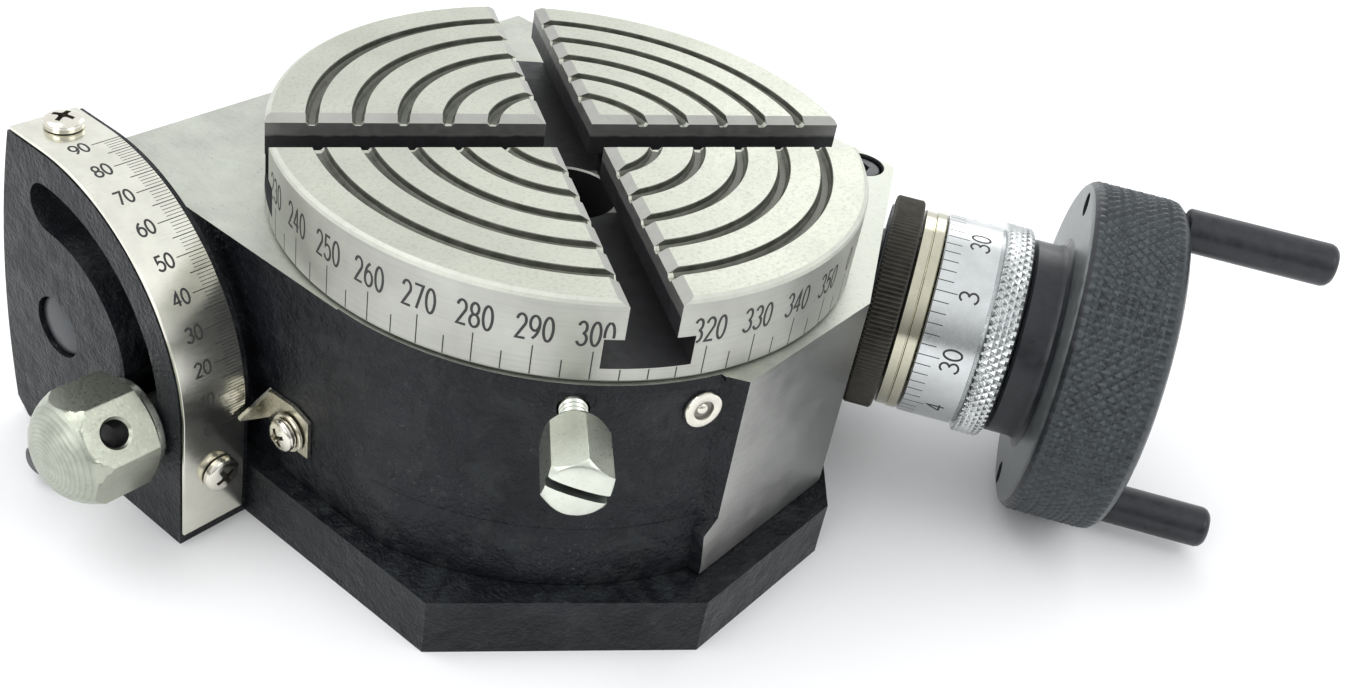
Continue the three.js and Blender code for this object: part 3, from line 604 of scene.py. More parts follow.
class Marks:
    """Strokes drawn in a flat (u, v) plane and laid on a surface as thin inlays."""

    def __init__(self, place, keep=None):
        self.place = place
        self.keep = keep
        self.bm = bmesh.new()

    def split(self, points, step):
        """The same line with no piece longer than step, so that it follows a curved surface."""
        fine = [points[0]]
        for a, b in zip(points, points[1:]):
            parts = max(1, math.ceil(math.dist(a, b) / step))
            fine += [(a[0] + (b[0] - a[0]) * k / parts, a[1] + (b[1] - a[1]) * k / parts)
                     for k in range(1, parts + 1)]
        return fine

    def draw(self, points, width):
        """A stroke, without the parts that keep(u, v) rejects."""
        fine = self.split(points, 0.25)
        if self.keep is None or all(self.keep(*p) for p in fine):
            self.stroke(self.split(points, 0.7), width)
            return
        run = []
        for p in [*fine, None]:
            if p is not None and self.keep(*p):
                run.append(p)
                continue
            if len(run) > 1 and math.dist(run[0], run[-1]) > 0.1:
                self.stroke(run, width)
            run = []

    def stroke(self, points, width):
        points = [Vector(p) for p in points]
        loop = (points[0] - points[-1]).length < 1e-6
        if loop:
            points = points[:-1]
        left, right = [], []
        count = len(points)
        for k, p in enumerate(points):
            before = points[k - 1] if loop or k else None
            after = points[(k + 1) % count] if loop or k < count - 1 else None
            a = (p - before).normalized() if before is not None else None
            b = (after - p).normalized() if after is not None else None
            along = (a + b) if a is not None and b is not None else (a if b is None else b)
            along = along.normalized()
            reach = 1.0
            if a is not None and b is not None:
                reach = min(1.6, 1 / max(0.4, along.dot(b)))
            normal = Vector((-along.y, along.x)) * (width / 2 * reach)
            left.append(p + normal)
            right.append(p - normal)
        tops = [(self.vertex(a, 0.012), self.vertex(b, 0.012)) for a, b in zip(left, right)]
        lows = [(self.vertex(a, -0.12), self.vertex(b, -0.12)) for a, b in zip(left, right)]
        spans = range(count if loop else count - 1)
        for k in spans:
            n = (k + 1) % count
            self.bm.faces.new((tops[k][0], tops[n][0], tops[n][1], tops[k][1]))
            self.bm.faces.new((lows[k][1], lows[n][1], lows[n][0], lows[k][0]))
            self.bm.faces.new((lows[k][0], lows[n][0], tops[n][0], tops[k][0]))
            self.bm.faces.new((tops[k][1], tops[n][1], lows[n][1], lows[k][1]))
        if not loop:
            for k in (0, count - 1):
                self.bm.faces.new((tops[k][0], tops[k][1], lows[k][1], lows[k][0]))

    def vertex(self, point, lift):
        return self.bm.verts.new(self.place(point.x, point.y, lift))

    def number(self, text, u, v, height, width_share=1.0, gap=0.2, line=0.11):
        """Draws text centred on u, its foot at v."""
        widths = [(0.34 if c == "1" else 0.52) * height * width_share for c in text]
        space = gap * height * width_share
        cursor = u - (sum(widths) + space * (len(text) - 1)) / 2
        for c, wide in zip(text, widths):
            for part in DIGITS[c]:
                points = [(cursor + x * height * width_share, v + y * height) for x, y in part]
                if math.dist(part[0], part[-1]) < 1e-6:
                    points[-1] = points[0]
                self.draw(points, line * height)
            cursor += wide + space

    def finish(self, name, body, material, **more):
        return finish(object_of(self.bm), name, body, [material], smooth=30, **more)


# ---------- base ----------

def quadrant_outline():
    top = PIVOT.z + QUADRANT_RADIUS
    rear = [(1 - t) ** 2 * Vector((58, top)) + 2 * t * (1 - t) * Vector((66, 32)) + t * t * Vector((64.3, 3))
            for t in np.linspace(0, 1, 14)]
    return ([(QUADRANT_FOOT, 0)] + pivot_arc(QUADRANT_RADIUS, 180, 90, 40)
            + [tuple(p) for p in rear] + [(61.5, 0)])


def clamp_slot_outline():
    half = SLOT_WIDTH / 2
    y, z, r, low = PIVOT.y, PIVOT.z, SLOT_RADIUS, 180 + STUD_DROP
    return (pivot_arc(r + half, low, 90, 44) + arc(y, z + r, half, half, 90, -90, 14)[1:]
            + pivot_arc(r - half, 90, low, 36)[1:]
            + arc(STUD.y, STUD.z, half, half, low - 180, low - 360, 14)[1:-1])


def base_body():
    outline = [(-54, 62), (-54, -26.4), (-20.6, -56.4), (14.6, -56.4), (22.5, -50.2), (54, -26.4), (54, 62)]
    plate = prism(outline, 0, BASE_TOP)
    left = prism(quadrant_outline(), LEFT_OUT, LEFT_IN + 0.5, matrix=ALONG_X)
    radius = 13
    cheek = ([(PIVOT.y - radius - 3, 0)] + pivot_arc(radius, 180, 0, 28) + [(62, 0)])
    right = prism(cheek, RIGHT_IN - 0.5, RIGHT_OUT, matrix=ALONG_X)
    body = join(plate, left, right)
    y, z = PIVOT.y, PIVOT.z
    cut(
        body,
        block(LEFT_IN, LEFT_IN + 2, -60, 70, BASE_TOP, 70),
        block(RIGHT_IN - 2, RIGHT_IN, -60, 70, BASE_TOP, 70),
        prism(clamp_slot_outline(), LEFT_OUT - 1, LEFT_IN + 1, matrix=ALONG_X),
        cylinder(5.45, LEFT_OUT - 1, LEFT_IN + 1, outward_x(y, z, 1)),
        cylinder(5.1, RIGHT_IN - 1, RIGHT_OUT + 1, outward_x(y, z, 1)))
    soften(body, 0.55, 3, 30, material=1)
    finish(body, "base_body", "base", [ENAMEL, ENAMEL_EDGE], "enamel", ["base_casting"])


def strip_outline(inner, outer):
    low, high = 2.5, PIVOT.z
    foot = PIVOT.y + LEAN * (high - low)
    return ([(foot - outer, low)] + pivot_arc(outer, 180, 90, 60)
            + [(57.5, high + outer), (57.5, high + inner)]
            + pivot_arc(inner, 90, 180, 60) + [(foot - inner, low)])


def degree_scale():
    strip = prism(strip_outline(STRIP_INNER, STRIP_OUTER), STRIP_LEFT, STRIP_RIGHT, matrix=ALONG_X)
    soften(strip, 0.16, 2, 30)
    finish(strip, "degree_scale", "base", [STRIP], "scale_strip", ["degree_strip"])

    def on_strip(u, v, lift):
        """u runs along X, v along the arc from the zero mark, in millimetres."""
        angle = rad(STRIP_ZERO) - v / STRIP_OUTER
        radius = STRIP_OUTER + lift
        if angle > math.pi:
            below = (angle - math.pi) * STRIP_OUTER
            return (u, PIVOT.y - radius + LEAN * below, PIVOT.z - below)
        return (u, PIVOT.y + radius * math.cos(angle), PIVOT.z + radius * math.sin(angle))

    marks = Marks(on_strip)
    degree = rad(1) * STRIP_OUTER
    for k in range(91):
        long = 5.0 if k % 10 == 0 else 4.1 if k % 5 == 0 else 3.1
        fine = 0.15 if k % 5 == 0 else 0.10
        marks.stroke([(STRIP_RIGHT - 0.1, k * degree), (STRIP_RIGHT - long, k * degree)], fine)
        if k % 10 == 0:
            marks.number(str(k), -62.4, k * degree - 1.15, 2.3, 1.0, 0.16, 0.16)
    marks.finish("degree_scale_marks", "base", INK)


def pan_screw(name, body, matrix, seat, head, height, nodes):
    """A pan-head screw with a cross recess; local Z points out of the head."""
    crown = [(head - 0.18, seat + 0.55 * height)] + [
        (head * math.sin(a), seat + height * (0.52 + 0.48 * math.cos(a)))
        for a in np.radians(np.linspace(78, 6, 9))]
    screw = turned([(0, seat - 4), (head * 0.42, seat - 4), (head * 0.42, seat), (head - 0.15, seat),
                    (head, seat + 0.15), (head, seat + 0.4 * height)] + crown + [(0, seat + height)], 56)
    arm, wide = head * 0.58, head * 0.13
    low, high = seat + 0.30 * height, seat + height + 1
    cross = join(
        block(-arm, arm, -wide, wide, low, high),
        block(-wide, wide, -arm, arm, low, high),
        turned([(0, low - 0.35), (wide * 1.7, low), (wide * 2.1, high), (0, high)], 20))
    moved(cross, spin(28, "Z"))
    cut(screw, cross)
    # The floor of the cross recess is painted near-black: painted shade.
    paint(screw, 1, lambda c, n: c.z < low + 0.12 and c.z > seat and off_axis(c) < arm and n.z > 0.4)
    soften(screw, 0.05, 2, 30)
    finish(screw, name, body, [NICKEL, RECESS_SHADE], "screws", nodes, matrix)


def base_hardware():
    top = STRIP_OUTER - QUADRANT_RADIUS + 0.12
    pan_screw("scale_screw_upper", "base", Matrix.Translation((-60.4, 53, PIVOT.z + QUADRANT_RADIUS)), top,
              3.1, 1.9, ["strip_screw_top"])
    front = Matrix.Translation((-60.4, 17.1, 13.5)) @ spin(92.5, "X")
    pan_screw("scale_screw_lower", "base", front, top + 0.25, 3.1, 1.9, ["strip_screw_bottom"])

    y, z = PIVOT.y, PIVOT.z
    for name, head, outer, shoulder, inner, direction in (
            ("left_pivot_pin", 5.25, 66.6, 53.9, 46, -1), ("right_pivot_pin", 4.85, 63.6, 53.9, 46, 1)):
        pin = turned([(0, inner), (4.5, inner), (4.5, shoulder), (head, shoulder), (head, outer - 0.7),
                      (head - 0.2, outer - 0.4), (head * 0.75, outer - 0.17), (head * 0.45, outer - 0.05),
                      (head * 0.2, outer - 0.01), (0, outer)], 64)
        finish(pin, name + "_turned", "base", [PIN], "black_oxide", [name], outward_x(y, z, direction))

    low, high = box_mm("side_stud")
    _, y, z = middle("side_stud")
    tip, radius = -low.x, (high.y - low.y) / 2
    stud = turned([(0, 61), (radius - 0.8, 61), (radius - 0.8, 66.7), (radius, 66.7), (radius, tip - 1.1),
                   (radius - 0.35, tip - 0.35), (radius - 1.0, tip), (0, tip)], 48)
    finish(stud, "side_stud_turned", "base", [PIN], "black_oxide", ["side_stud"], outward_x(y, z, -1))


# ---------- housing ----------

def housing_outline():
    start = 180 + math.degrees(math.asin(7.9 / WALL_RADIUS))
    pad = -16.6
    end = math.degrees(math.atan2(-math.sqrt(WALL_RADIUS ** 2 - pad ** 2), pad)) + 360
    side = 64
    return ([(HOUSING_LEFT, HOUSING_REAR)]
            + arc(0, 0, WALL_RADIUS, WALL_RADIUS, start, end, 44)
            + [(PAD_X, HOUSING_FRONT), (CORNER_X, HOUSING_FRONT),
               (side, HOUSING_FRONT + (side - CORNER_X) * math.tan(FACE_ANGLE)), (side, -6),
               (HOUSING_RIGHT, 14), (HOUSING_RIGHT, HOUSING_REAR)])


def rear_relief():
    radius = PIVOT.z - BASE_TOP - 0.4
    low = HOUSING_BOTTOM - 1
    outline = ([(PIVOT.y, low)] + pivot_arc(radius, -90, 0, 20)
               + [(PIVOT.y + radius + 5, PIVOT.z), (PIVOT.y + radius + 5, low)])
    return prism(outline, -70, 70, matrix=ALONG_X)


def housing_body():
    body = prism(housing_outline(), HOUSING_BOTTOM, HOUSING_TOP)
    skirt = turned([(0, HOUSING_BOTTOM), (51.9, HOUSING_BOTTOM), (52.2, 20.4), (51.25, 22.6), (0, 22.6)],
                   180)
    combine(skirt, "INTERSECT", block(HOUSING_LEFT, -10, HOUSING_FRONT - 1, 0, 5, 30))
    left = -HOUSING_LEFT
    foot = prism([(-16.8, HOUSING_BOTTOM), (-14, HOUSING_BOTTOM), (-14, 22.6), (PAD_X, 22.6), (-18, 20.4),
                  (-16.8, 13.4)], -HOUSING_FRONT - 4, -HOUSING_FRONT, spin(90, "X"))
    join(
        body, skirt, foot,
        cylinder(7.5, left - 1, 53.6, outward_x(PIVOT.y, PIVOT.z, -1)),
        cylinder(7.5, left - 1, 53.6, outward_x(STUD.y, STUD.z, -1)),
        cylinder(7.5, HOUSING_RIGHT - 1, 53.6, outward_x(PIVOT.y, PIVOT.z, 1)))
    lock_hole = turned([(0, 37), (2.2, 37), (2.2, 45.3), (4.3, 45.3), (4.3, 49.9), (4.7, 50.5), (0, 50.5)],
                       48)
    bore = turned([(0, 10), (28, 10), (28, 14), (22.6, 14), (22.6, 37.6), (17.2, 37.6), (17.2, 52), (0, 52)])
    cut(
        body, rear_relief(), bore,
        cylinder(13.2, 21.5, 60, SHAFT @ Matrix.Translation((1, 0, 0))),
        moved(lock_hole, upright("bush_lock_screw")),
        cylinder(4.8, 44, 58, outward_x(PIVOT.y, PIVOT.z, -1)),
        cylinder(4.8, 44, 58, outward_x(PIVOT.y, PIVOT.z, 1)),
        cylinder(3.6, 40, 58, outward_x(STUD.y, STUD.z, -1)),
        cylinder(2.5, 30, 56, on_radius(CLAMP_ANGLE, CLAMP_Z)),
        cylinder(2.9, 44, 56, on_radius(OILER_ANGLE, OILER_Z)))
    wall, top = WALL_RADIUS, HOUSING_TOP
    lip = turned([(wall - 0.95, top + 0.01), (wall + 0.02, top - 0.9), (60, top - 0.9), (60, top + 1),
                  (wall - 0.95, top + 1)], 180)
    combine(lip, "INTERSECT", block(HOUSING_LEFT - 2, -16.8, HOUSING_FRONT - 2, 0, 45, 55))
    cut(body, lip)
    soften(body, 0.4, 2, 28, material=1)
    paint(body, 2, lambda c, n: n.z > 0.95 and c.z > HOUSING_TOP - 0.1)
    # The milled front flat, whose material carries painted shade darkening towards +X.
    paint(body, 3, lambda c, n: n.y < -0.99 and c.y < HOUSING_FRONT + 0.05)
    finish(body, "housing_body", "housing", [ENAMEL, ENAMEL_EDGE_LIGHT, MILLED_TOP, MILLED_FLAT], "enamel",
           ["housing_casting"])


def pointer():
    """A bent plate with a tapered tongue that reads the degree scale."""
    low, high = box_mm("zero_pointer")
    leaf_out, leaf_in = high.x - 0.7, high.x
    bend = low.y if low.y > 12 else PIVOT.y - 34.4
    leaf = prism([(4.8, 18.4), (12.5, 18.2), (bend, 21), (bend, 26.6), (8.6, 26.8), (4.8, 25.6)],
                 leaf_out, leaf_in, matrix=ALONG_X)
    tongue = prism([(leaf_in, 21), (low.x, 23.3), (low.x, 23.8), (leaf_in, 26.6)], 0, 0.7)
    moved(tongue, Matrix.Translation((0, bend + 0.35, 0)) @ spin(90, "X"))
    join(leaf, tongue)
    soften(leaf, 0.12, 2, 30)
    finish(leaf, "pointer_plate", "housing", [NICKEL_WARM], "screws", ["zero_pointer"])

    at = outward_x(*middle("pointer_screw")[1:], -1)
    low, high = box_mm("pointer_washer")
    finish(washer(1.7, 3.4, -high.x, -low.x, 0.1, 56), "pointer_washer_turned", "housing", [NICKEL], "screws",
           ["pointer_washer"], at)
    pan_screw("pointer_pan_screw", "housing", at, -low.x + 0.15, 2.8, 1.9, ["pointer_screw"])


def oiler():
    seat = WALL_RADIUS + 0.1
    at = on_radius(OILER_ANGLE, OILER_Z)
    cup = turned([(0, 48), (2.5, 48), (2.5, seat), (3.1, seat), (3.2, seat + 0.1), (3.2, seat + 0.5),
                  (3.08, seat + 0.7), (2.8, seat + 0.8), (1.85, seat + 0.8), (1.7, seat + 0.7),
                  (1.62, seat + 0.25), (0, seat + 0.25)], 64)
    paint(cup, 1, lambda c, n: off_axis(c) < 1.75 and c.z > seat + 0.2)
    finish(cup, "oiler_cup", "housing", [NICKEL, NICKEL_DARK], "screws", ["ball_oiler"], at)
    ball = turned([(0, seat - 0.2)] + [(1.15 * math.sin(a), seat - 0.1 + 0.85 * math.cos(a))
                                       for a in np.radians(np.linspace(90, 8, 10))] + [(0, seat + 0.75)], 40)
    finish(ball, "oiler_ball", "housing", [NICKEL], "screws", (), at)


def hex_points(flats, turn=0.0):
    corner = flats / math.sqrt(3)
    return arc(0, 0, corner, corner, turn, turn + 300, 6)


def lock_screw():
    low, high = box_mm("bush_lock_screw")
    screw = turned([(0, low.z), (1.9, low.z), (1.9, 45.6), (3.8, 45.6), (3.9, 45.7), (3.9, high.z - 0.5),
                    (3.75, high.z - 0.15), (3.45, high.z), (0, high.z)], 56)
    cut(screw, prism(hex_points(3.2, 12), 47.4, 52))
    finish(screw, "lock_cap_screw", "housing", [OXIDE], "black_oxide", ["bush_lock_screw"],
           upright("bush_lock_screw"))


def underside():
    cover = turned([(0, 11.4), (27.3, 11.4), (27.7, 11.8), (27.7, 13.7), (0, 13.7)])
    names = ["cover_screw_1", "cover_screw_2", "cover_screw_3"]
    places = [upright(name) for name in names]
    sink = [(0, 10), (2.7, 10), (2.7, 11.7), (1.4, 12.9), (1.4, 15), (0, 15)]
    cut(cover, *[moved(turned(sink, 32), place) for place in places])
    finish(cover, "cover_plate", "housing", [ENAMEL], "enamel", ["bottom_cover"])
    for k, (name, place) in enumerate(zip(names, places)):
        screw = turned([(0, 11.55), (2.1, 11.55), (2.2, 11.65), (1.05, 12.9), (1.05, 20), (0, 20)], 40)
        cut(screw, block(-3, 3, -0.35, 0.35, 11, 12.1))
        finish(screw, f"cover_countersunk_screw_{k + 1}", "housing", [OXIDE], "black_oxide", [name], place)


def tilt_clamp():
    at = outward_x(STUD.y, STUD.z, -1)
    flats, turn, seat, tip, station = 17.0, 41, 69.2, 84.4, 75.4
    corner = flats / math.sqrt(3) + 0.05
    nut = prism(hex_points(flats, turn), seat, tip + 0.5)
    soften(nut, 0.16, 2, 30)
    dome = [(9.5, 78.6), (9.0, 79.6), (8.4, 80.6), (7.6, 81.6), (6.6, 82.5), (5.4, 83.25), (4.0, 83.85),
            (2.5, 84.2), (1.2, 84.36)]
    trim = turned([(0, seat), (8.2, seat), (corner, seat + 0.8), (corner, 77.9), *dome, (0, tip)], 128)
    combine(nut, "INTERSECT", trim)
    tommy = cylinder(2.2, -14, 14, segments=48)
    counters = [turned([(0, 8.0), (2.2, 8.0), (2.65, 8.55), (2.65, 12), (0, 12)], 48) for _ in range(2)]
    moved(counters[1], spin(180, "X"))
    for tool in (tommy, *counters):
        moved(tool, Matrix.Translation((0, 0, station)) @ spin(turn, "Z") @ spin(90, "X"))
    cut(nut, cylinder(3.5, 68, 78.4), tommy, *counters)
    # Faces inside the bore and the tommy-bar hole, and the nut's back face, are painted near-black: painted
    # shade inside the nut.
    paint(nut, 1, lambda c, n: off_axis(c) < 7.7 and c.z < 79)
    paint(nut, 2, lambda c, n: c.z > 78 and off_axis(c) < 8.6 and n.z > 0.3)
    finish(nut, "tilt_acorn_nut", "tilt_nut", [ZINC_DULL, NUT_BORE, ZINC_TURNED], "zinc_plate",
           ["tilt_nut"], at)

    stud = turned([(0, 41.3), (2.9, 41), (3.2, 41.4), (3.2, 72.4), (2.8, 72.9), (0, 72.9)], 40)
    finish(stud, "tilt_stud_turned", "housing", [NUT_BORE], "zinc_plate", ["tilt_stud"], at)
    finish(washer(3.6, 7.4, 67.3, 68.9, 0.3, 72), "tilt_washer_turned", "housing", [ZINC], "zinc_plate",
           ["tilt_washer"], at)


def clamp_bolt():
    seat, end, flats, turn, slot_turn = 54.3, 69.5, 9.2, 50, 73
    corner = flats / math.sqrt(3) + 0.05
    head = prism(hex_points(flats, turn), seat, end + 0.5)
    soften(head, 0.12, 2, 30)
    shoulder = [(2.6, seat + 0.1), (3.6, seat + 1.4), (4.6, seat + 2.9), (corner, seat + 4.2)]
    crown = [(corner, end - 1.45), (4.55, end - 0.55), (4.2, end - 0.38), (3.0, end - 0.16),
             (1.5, end - 0.04)]
    combine(head, "INTERSECT", turned([(0, seat), (2.3, seat), *shoulder, *crown, (0, end)], 96))
    threads = []
    station = 46.0
    while station < seat:
        threads += [(1.8, station), (2.15, station + 0.35), (2.15, station + 0.5), (1.8, station + 0.85)]
        station += 0.95
    neck = seat + 0.4
    join(head, turned([(0, 20.6), (2.3, 20.6), (2.3, 45.8), *threads, (1.8, neck), (0, neck)], 48))
    side = Vector((-math.sin(rad(slot_turn)), math.cos(rad(slot_turn)), 0))
    cut(head, moved(block(-7, 7, -0.72, 0.72, end - 1.9, end + 1), spin(slot_turn, "Z")))
    # The slot's walls and floor are painted dark: painted shade inside the slot.
    paint(head, 1, lambda c, n: c.z > end - 1.95 and abs(c.dot(side)) < 0.73 and n.z < 0.9
          or abs(c.z - end + 1.9) < 0.01)
    finish(head, "clamp_bolt_head", "clamp_bolt", [ZINC, BOLT_SLOT_SHADE], "zinc_plate", ["table_clamp_bolt"],
           on_radius(CLAMP_ANGLE, CLAMP_Z))


# ---------- table ----------

def table_body():
    r, low, top = TABLE_RADIUS, TABLE_BOTTOM, TABLE_TOP
    grooves = []
    half = [(1.12, 0), (1.02, 0.12), (0.95, 0.95), (0.5, 1.45)]
    for centre in reversed(GROOVES):
        grooves += [(centre + x, top - z) for x, z in half] + [(centre - x, top - z) for x, z in half[::-1]]
    body = turned([(0, 20), (10.8, 20), (10.8, 24), (12, 24.5), (12, 37.4), (17, 37.4), (17, low - 0.2),
                   (r - 0.6, low), (r - 0.25, low + 0.12), (r, low + 0.5), (r, top - 0.8),
                   (r - 0.25, top - 0.3), (r - 0.9, top)] + grooves + [(0, top)], 288)
    neck, wide, chamfer = 4.0, 7.0, 1.65
    half = [(wide, 53.2), (wide, 58.4), (neck, 58.4), (neck, top - 0.95), (neck + chamfer, top),
            (neck + chamfer, top + 1)]
    section = [(-wide, 53.2)] + half + [(-x, z) for x, z in half[:0:-1]]
    angles = (SLOT_ANGLE, SLOT_ANGLE + 90)
    for angle in angles:
        cut(body, prism(section, -60, 60, spin(angle, "Z") @ ALONG_X))
    bore = TABLE_BORE
    cut(body, turned([(0, 10), (bore, 10), (bore, 52.9), (bore + 0.5, 53.4), (0, 53.4)]),
        block(10.4, 13, -1.6, 1.6, 28, 36.5))
    directions = [Vector((math.cos(rad(a)), math.sin(rad(a)))) for a in angles]

    def across(c):
        return min(abs(c.x * -d.y + c.y * d.x) for d in directions)

    paint(body, 1, lambda c, n: off_axis(c) > r - 0.3 and abs(n.z) < 0.8)
    paint(body, 2, lambda c, n: top - 1.6 < c.z < top - 0.02 and across(c) > neck + chamfer * 0.4
          and off_axis(c) < r - 2)
    # T-slot heads and walls get the slot material, near-black with painted shade.
    paint(body, 3, lambda c, n: 53 < c.z < top - 0.9 and across(c) < wide + 0.02 and c.z < top - 1.46
          and (n.x * c.x + n.y * c.y) < 0.8 * off_axis(c))
    paint(body, 4, lambda c, n: 0.4 < n.z < 0.95 and top - 1.0 < c.z < top and across(c) < neck + chamfer
          and off_axis(c) < r - 0.5 and across(c) > neck - 0.01)
    paint(body, 5, lambda c, n: off_axis(c) > r - 0.95 and c.z > top - 0.85 and n.z > 0.15)
    # The underside also gets the slot material, near-black there: painted shade under the table.
    paint(body, 3, lambda c, n: c.z < low - 0.05)
    paint(body, 4, lambda c, n: off_axis(c) < bore + 0.6 and 40 < c.z < 53.5)
    finish(body, "table_top", "table", [TABLE_FACE, RIM, GROOVE, SLOT, CHAMFER, RIM_EDGE], "ground_steel",
           ["table_disc"], smooth=24)


def table_marks():
    def on_rim(u, v, lift):
        angle = u / TABLE_RADIUS
        return ((TABLE_RADIUS + lift) * math.cos(angle), (TABLE_RADIUS + lift) * math.sin(angle), v)

    def off_slots(u, v):
        """True where the rim is whole, false over the open ends of the T-slots."""
        for k in range(4):
            turn = (math.degrees(u / TABLE_RADIUS) - SLOT_ANGLE - 90 * k + 180) % 360 - 180
            across = TABLE_RADIUS * math.sin(rad(min(abs(turn), 90)))
            if v > 53.1 and across < (7.1 if v < 58.5 else 4.1 if v < 64 else 5.8):
                return False
        return True

    marks = Marks(on_rim, off_slots)
    for k in range(72):
        u = rad(ZERO_MARK + 5 * k) * TABLE_RADIUS
        marks.draw([(u, TABLE_BOTTOM + 0.5), (u, TABLE_BOTTOM + (5.6 if k % 2 == 0 else 3.67))], 0.2)
        if k % 2 == 0:
            marks.number(str(5 * k), u, TABLE_BOTTOM + 6.6, 4.1, 0.66, 0.2, 0.105)
    marks.finish("table_marks", "table", INK)


# ---------- bush, dial and handwheel ----------

def straight_knurl(radius, count, depth):
    def relief(angle, r, z):
        if r < radius - 0.05:
            return 0
        wave = abs((angle * count / (2 * math.pi)) % 1 - 0.5) * 2
        return -depth * min(1, max(0, 1.5 * wave - 0.25))
    return relief


def diamond_knurl(radius, count, depth, start, slope=1.0):
    """Pyramids left by two crossing sets of V cuts, on the points at the given radius."""
    pitch = 2 * math.pi * radius / count

    def relief(angle, r, z):
        if r < radius - 0.05:
            return 0
        u = angle * count / (2 * math.pi)
        w = (z - start) / pitch * slope
        a = abs((u + w) % 1 - 0.5) * 2
        b = abs((u - w) % 1 - 0.5) * 2
        return -depth * max(a, b) ** 1.5
    return relief


def bush():
    body = turned([(0, 22), (12.9, 22), (12.9, NECK), (12.9, NECK + 0.2), (0, NECK + 0.2)], 72)
    moved(body, Matrix.Translation((1, 0, 0)))
    flange = cylinder(18.2, NECK, RING + 0.5, segments=96)
    spigot = cylinder(13.6, RING_END - 0.5, COLLAR_END - 0.5, segments=72)
    teeth = 150
    ring = turned([(0, RING), (19.5, RING), (19.8, RING + 0.05), (20.15, RING + 0.4), (20.15, RING_END - 0.4),
                   (19.8, RING_END - 0.05), (19.5, RING_END), (0, RING_END)], teeth * 6,
                  straight_knurl(20.15, teeth, 0.42))
    join(body, flange, spigot)
    cut(body, cylinder(5.4, 20, 66))
    finish(body, "bush_sleeve", "bush", [OXIDE], "black_oxide", ["eccentric_bush"], SHAFT)
    cut(ring, cylinder(13.0, 50, 66))
    finish(ring, "bush_knurled_ring", "bush", [RING_BROWN], "black_oxide", (), SHAFT, smooth=20)
    split = COLLAR + 0.45 * (COLLAR_END - COLLAR)
    collar = turned([(13.9, COLLAR), (18.55, COLLAR), (18.75, COLLAR + 0.2), (18.75, split),
                     (18.55, split + 0.1), (18.55, split + 0.25), (18.95, split + 0.4),
                     (18.95, COLLAR_END - 0.25), (18.7, COLLAR_END), (13.9, COLLAR_END)], 128)
    finish(collar, "collar_turned", "bush", [COLLAR_STEEL], "ground_steel", ["index_collar"], SHAFT)


def dial():
    radius, count, rows = 20.15, 78, 26
    low, high = GRIP + 0.25, GRIP_END - 0.9
    band = [(radius, s) for s in np.linspace(low, high, rows)]
    body = turned([(5.5, DIAL), (18.85, DIAL), (DIAL_RADIUS, DIAL + 0.2), (DIAL_RADIUS, DIAL_STEP),
                   (18.55, DIAL_STEP + 0.15), (18.45, GRIP - 0.3), (19.7, GRIP), *band,
                   (19.75, GRIP_END - 0.35), (19.1, GRIP_END), (9, GRIP_END), (9, 70), (5.5, 70)],
                  count * 6, diamond_knurl(radius, count, 0.55, low - 0.01, 0.8))
    finish(body, "dial_body", "dial", [CHROME], "satin_chrome", ["micrometer_dial"], SHAFT, smooth=28)

    def on_dial(u, v, lift):
        """u reads up the near side of the dial, v points back along the shaft."""
        angle = rad(DIAL_ZERO) - u / DIAL_RADIUS
        r = DIAL_RADIUS + lift
        return tuple(SHAFT @ Vector((r * math.cos(angle), r * math.sin(angle), DIAL - v)))

    marks = Marks(on_dial)
    labels = ["3", "30", "4", "30", "0", "30", "1", "30", "2", "30"]
    step = rad(6) * DIAL_RADIUS
    for k in range(60):
        u = -k * step
        long = 4.1 if k % 6 == 0 else 3.0
        marks.stroke([(u, -0.2), (u, -long)], 0.17)
        if k % 6 == 0:
            marks.number(labels[k // 6], u, -7.8, 3.3, 1.12, 0.16, 0.12)
    marks.finish("dial_marks", "dial", INK)


def at_handle(side):
    angle = rad(HANDLE_ANGLE + 180 * side)
    return Matrix.Translation((HANDLE_CIRCLE * math.cos(angle), HANDLE_CIRCLE * math.sin(angle), 0))


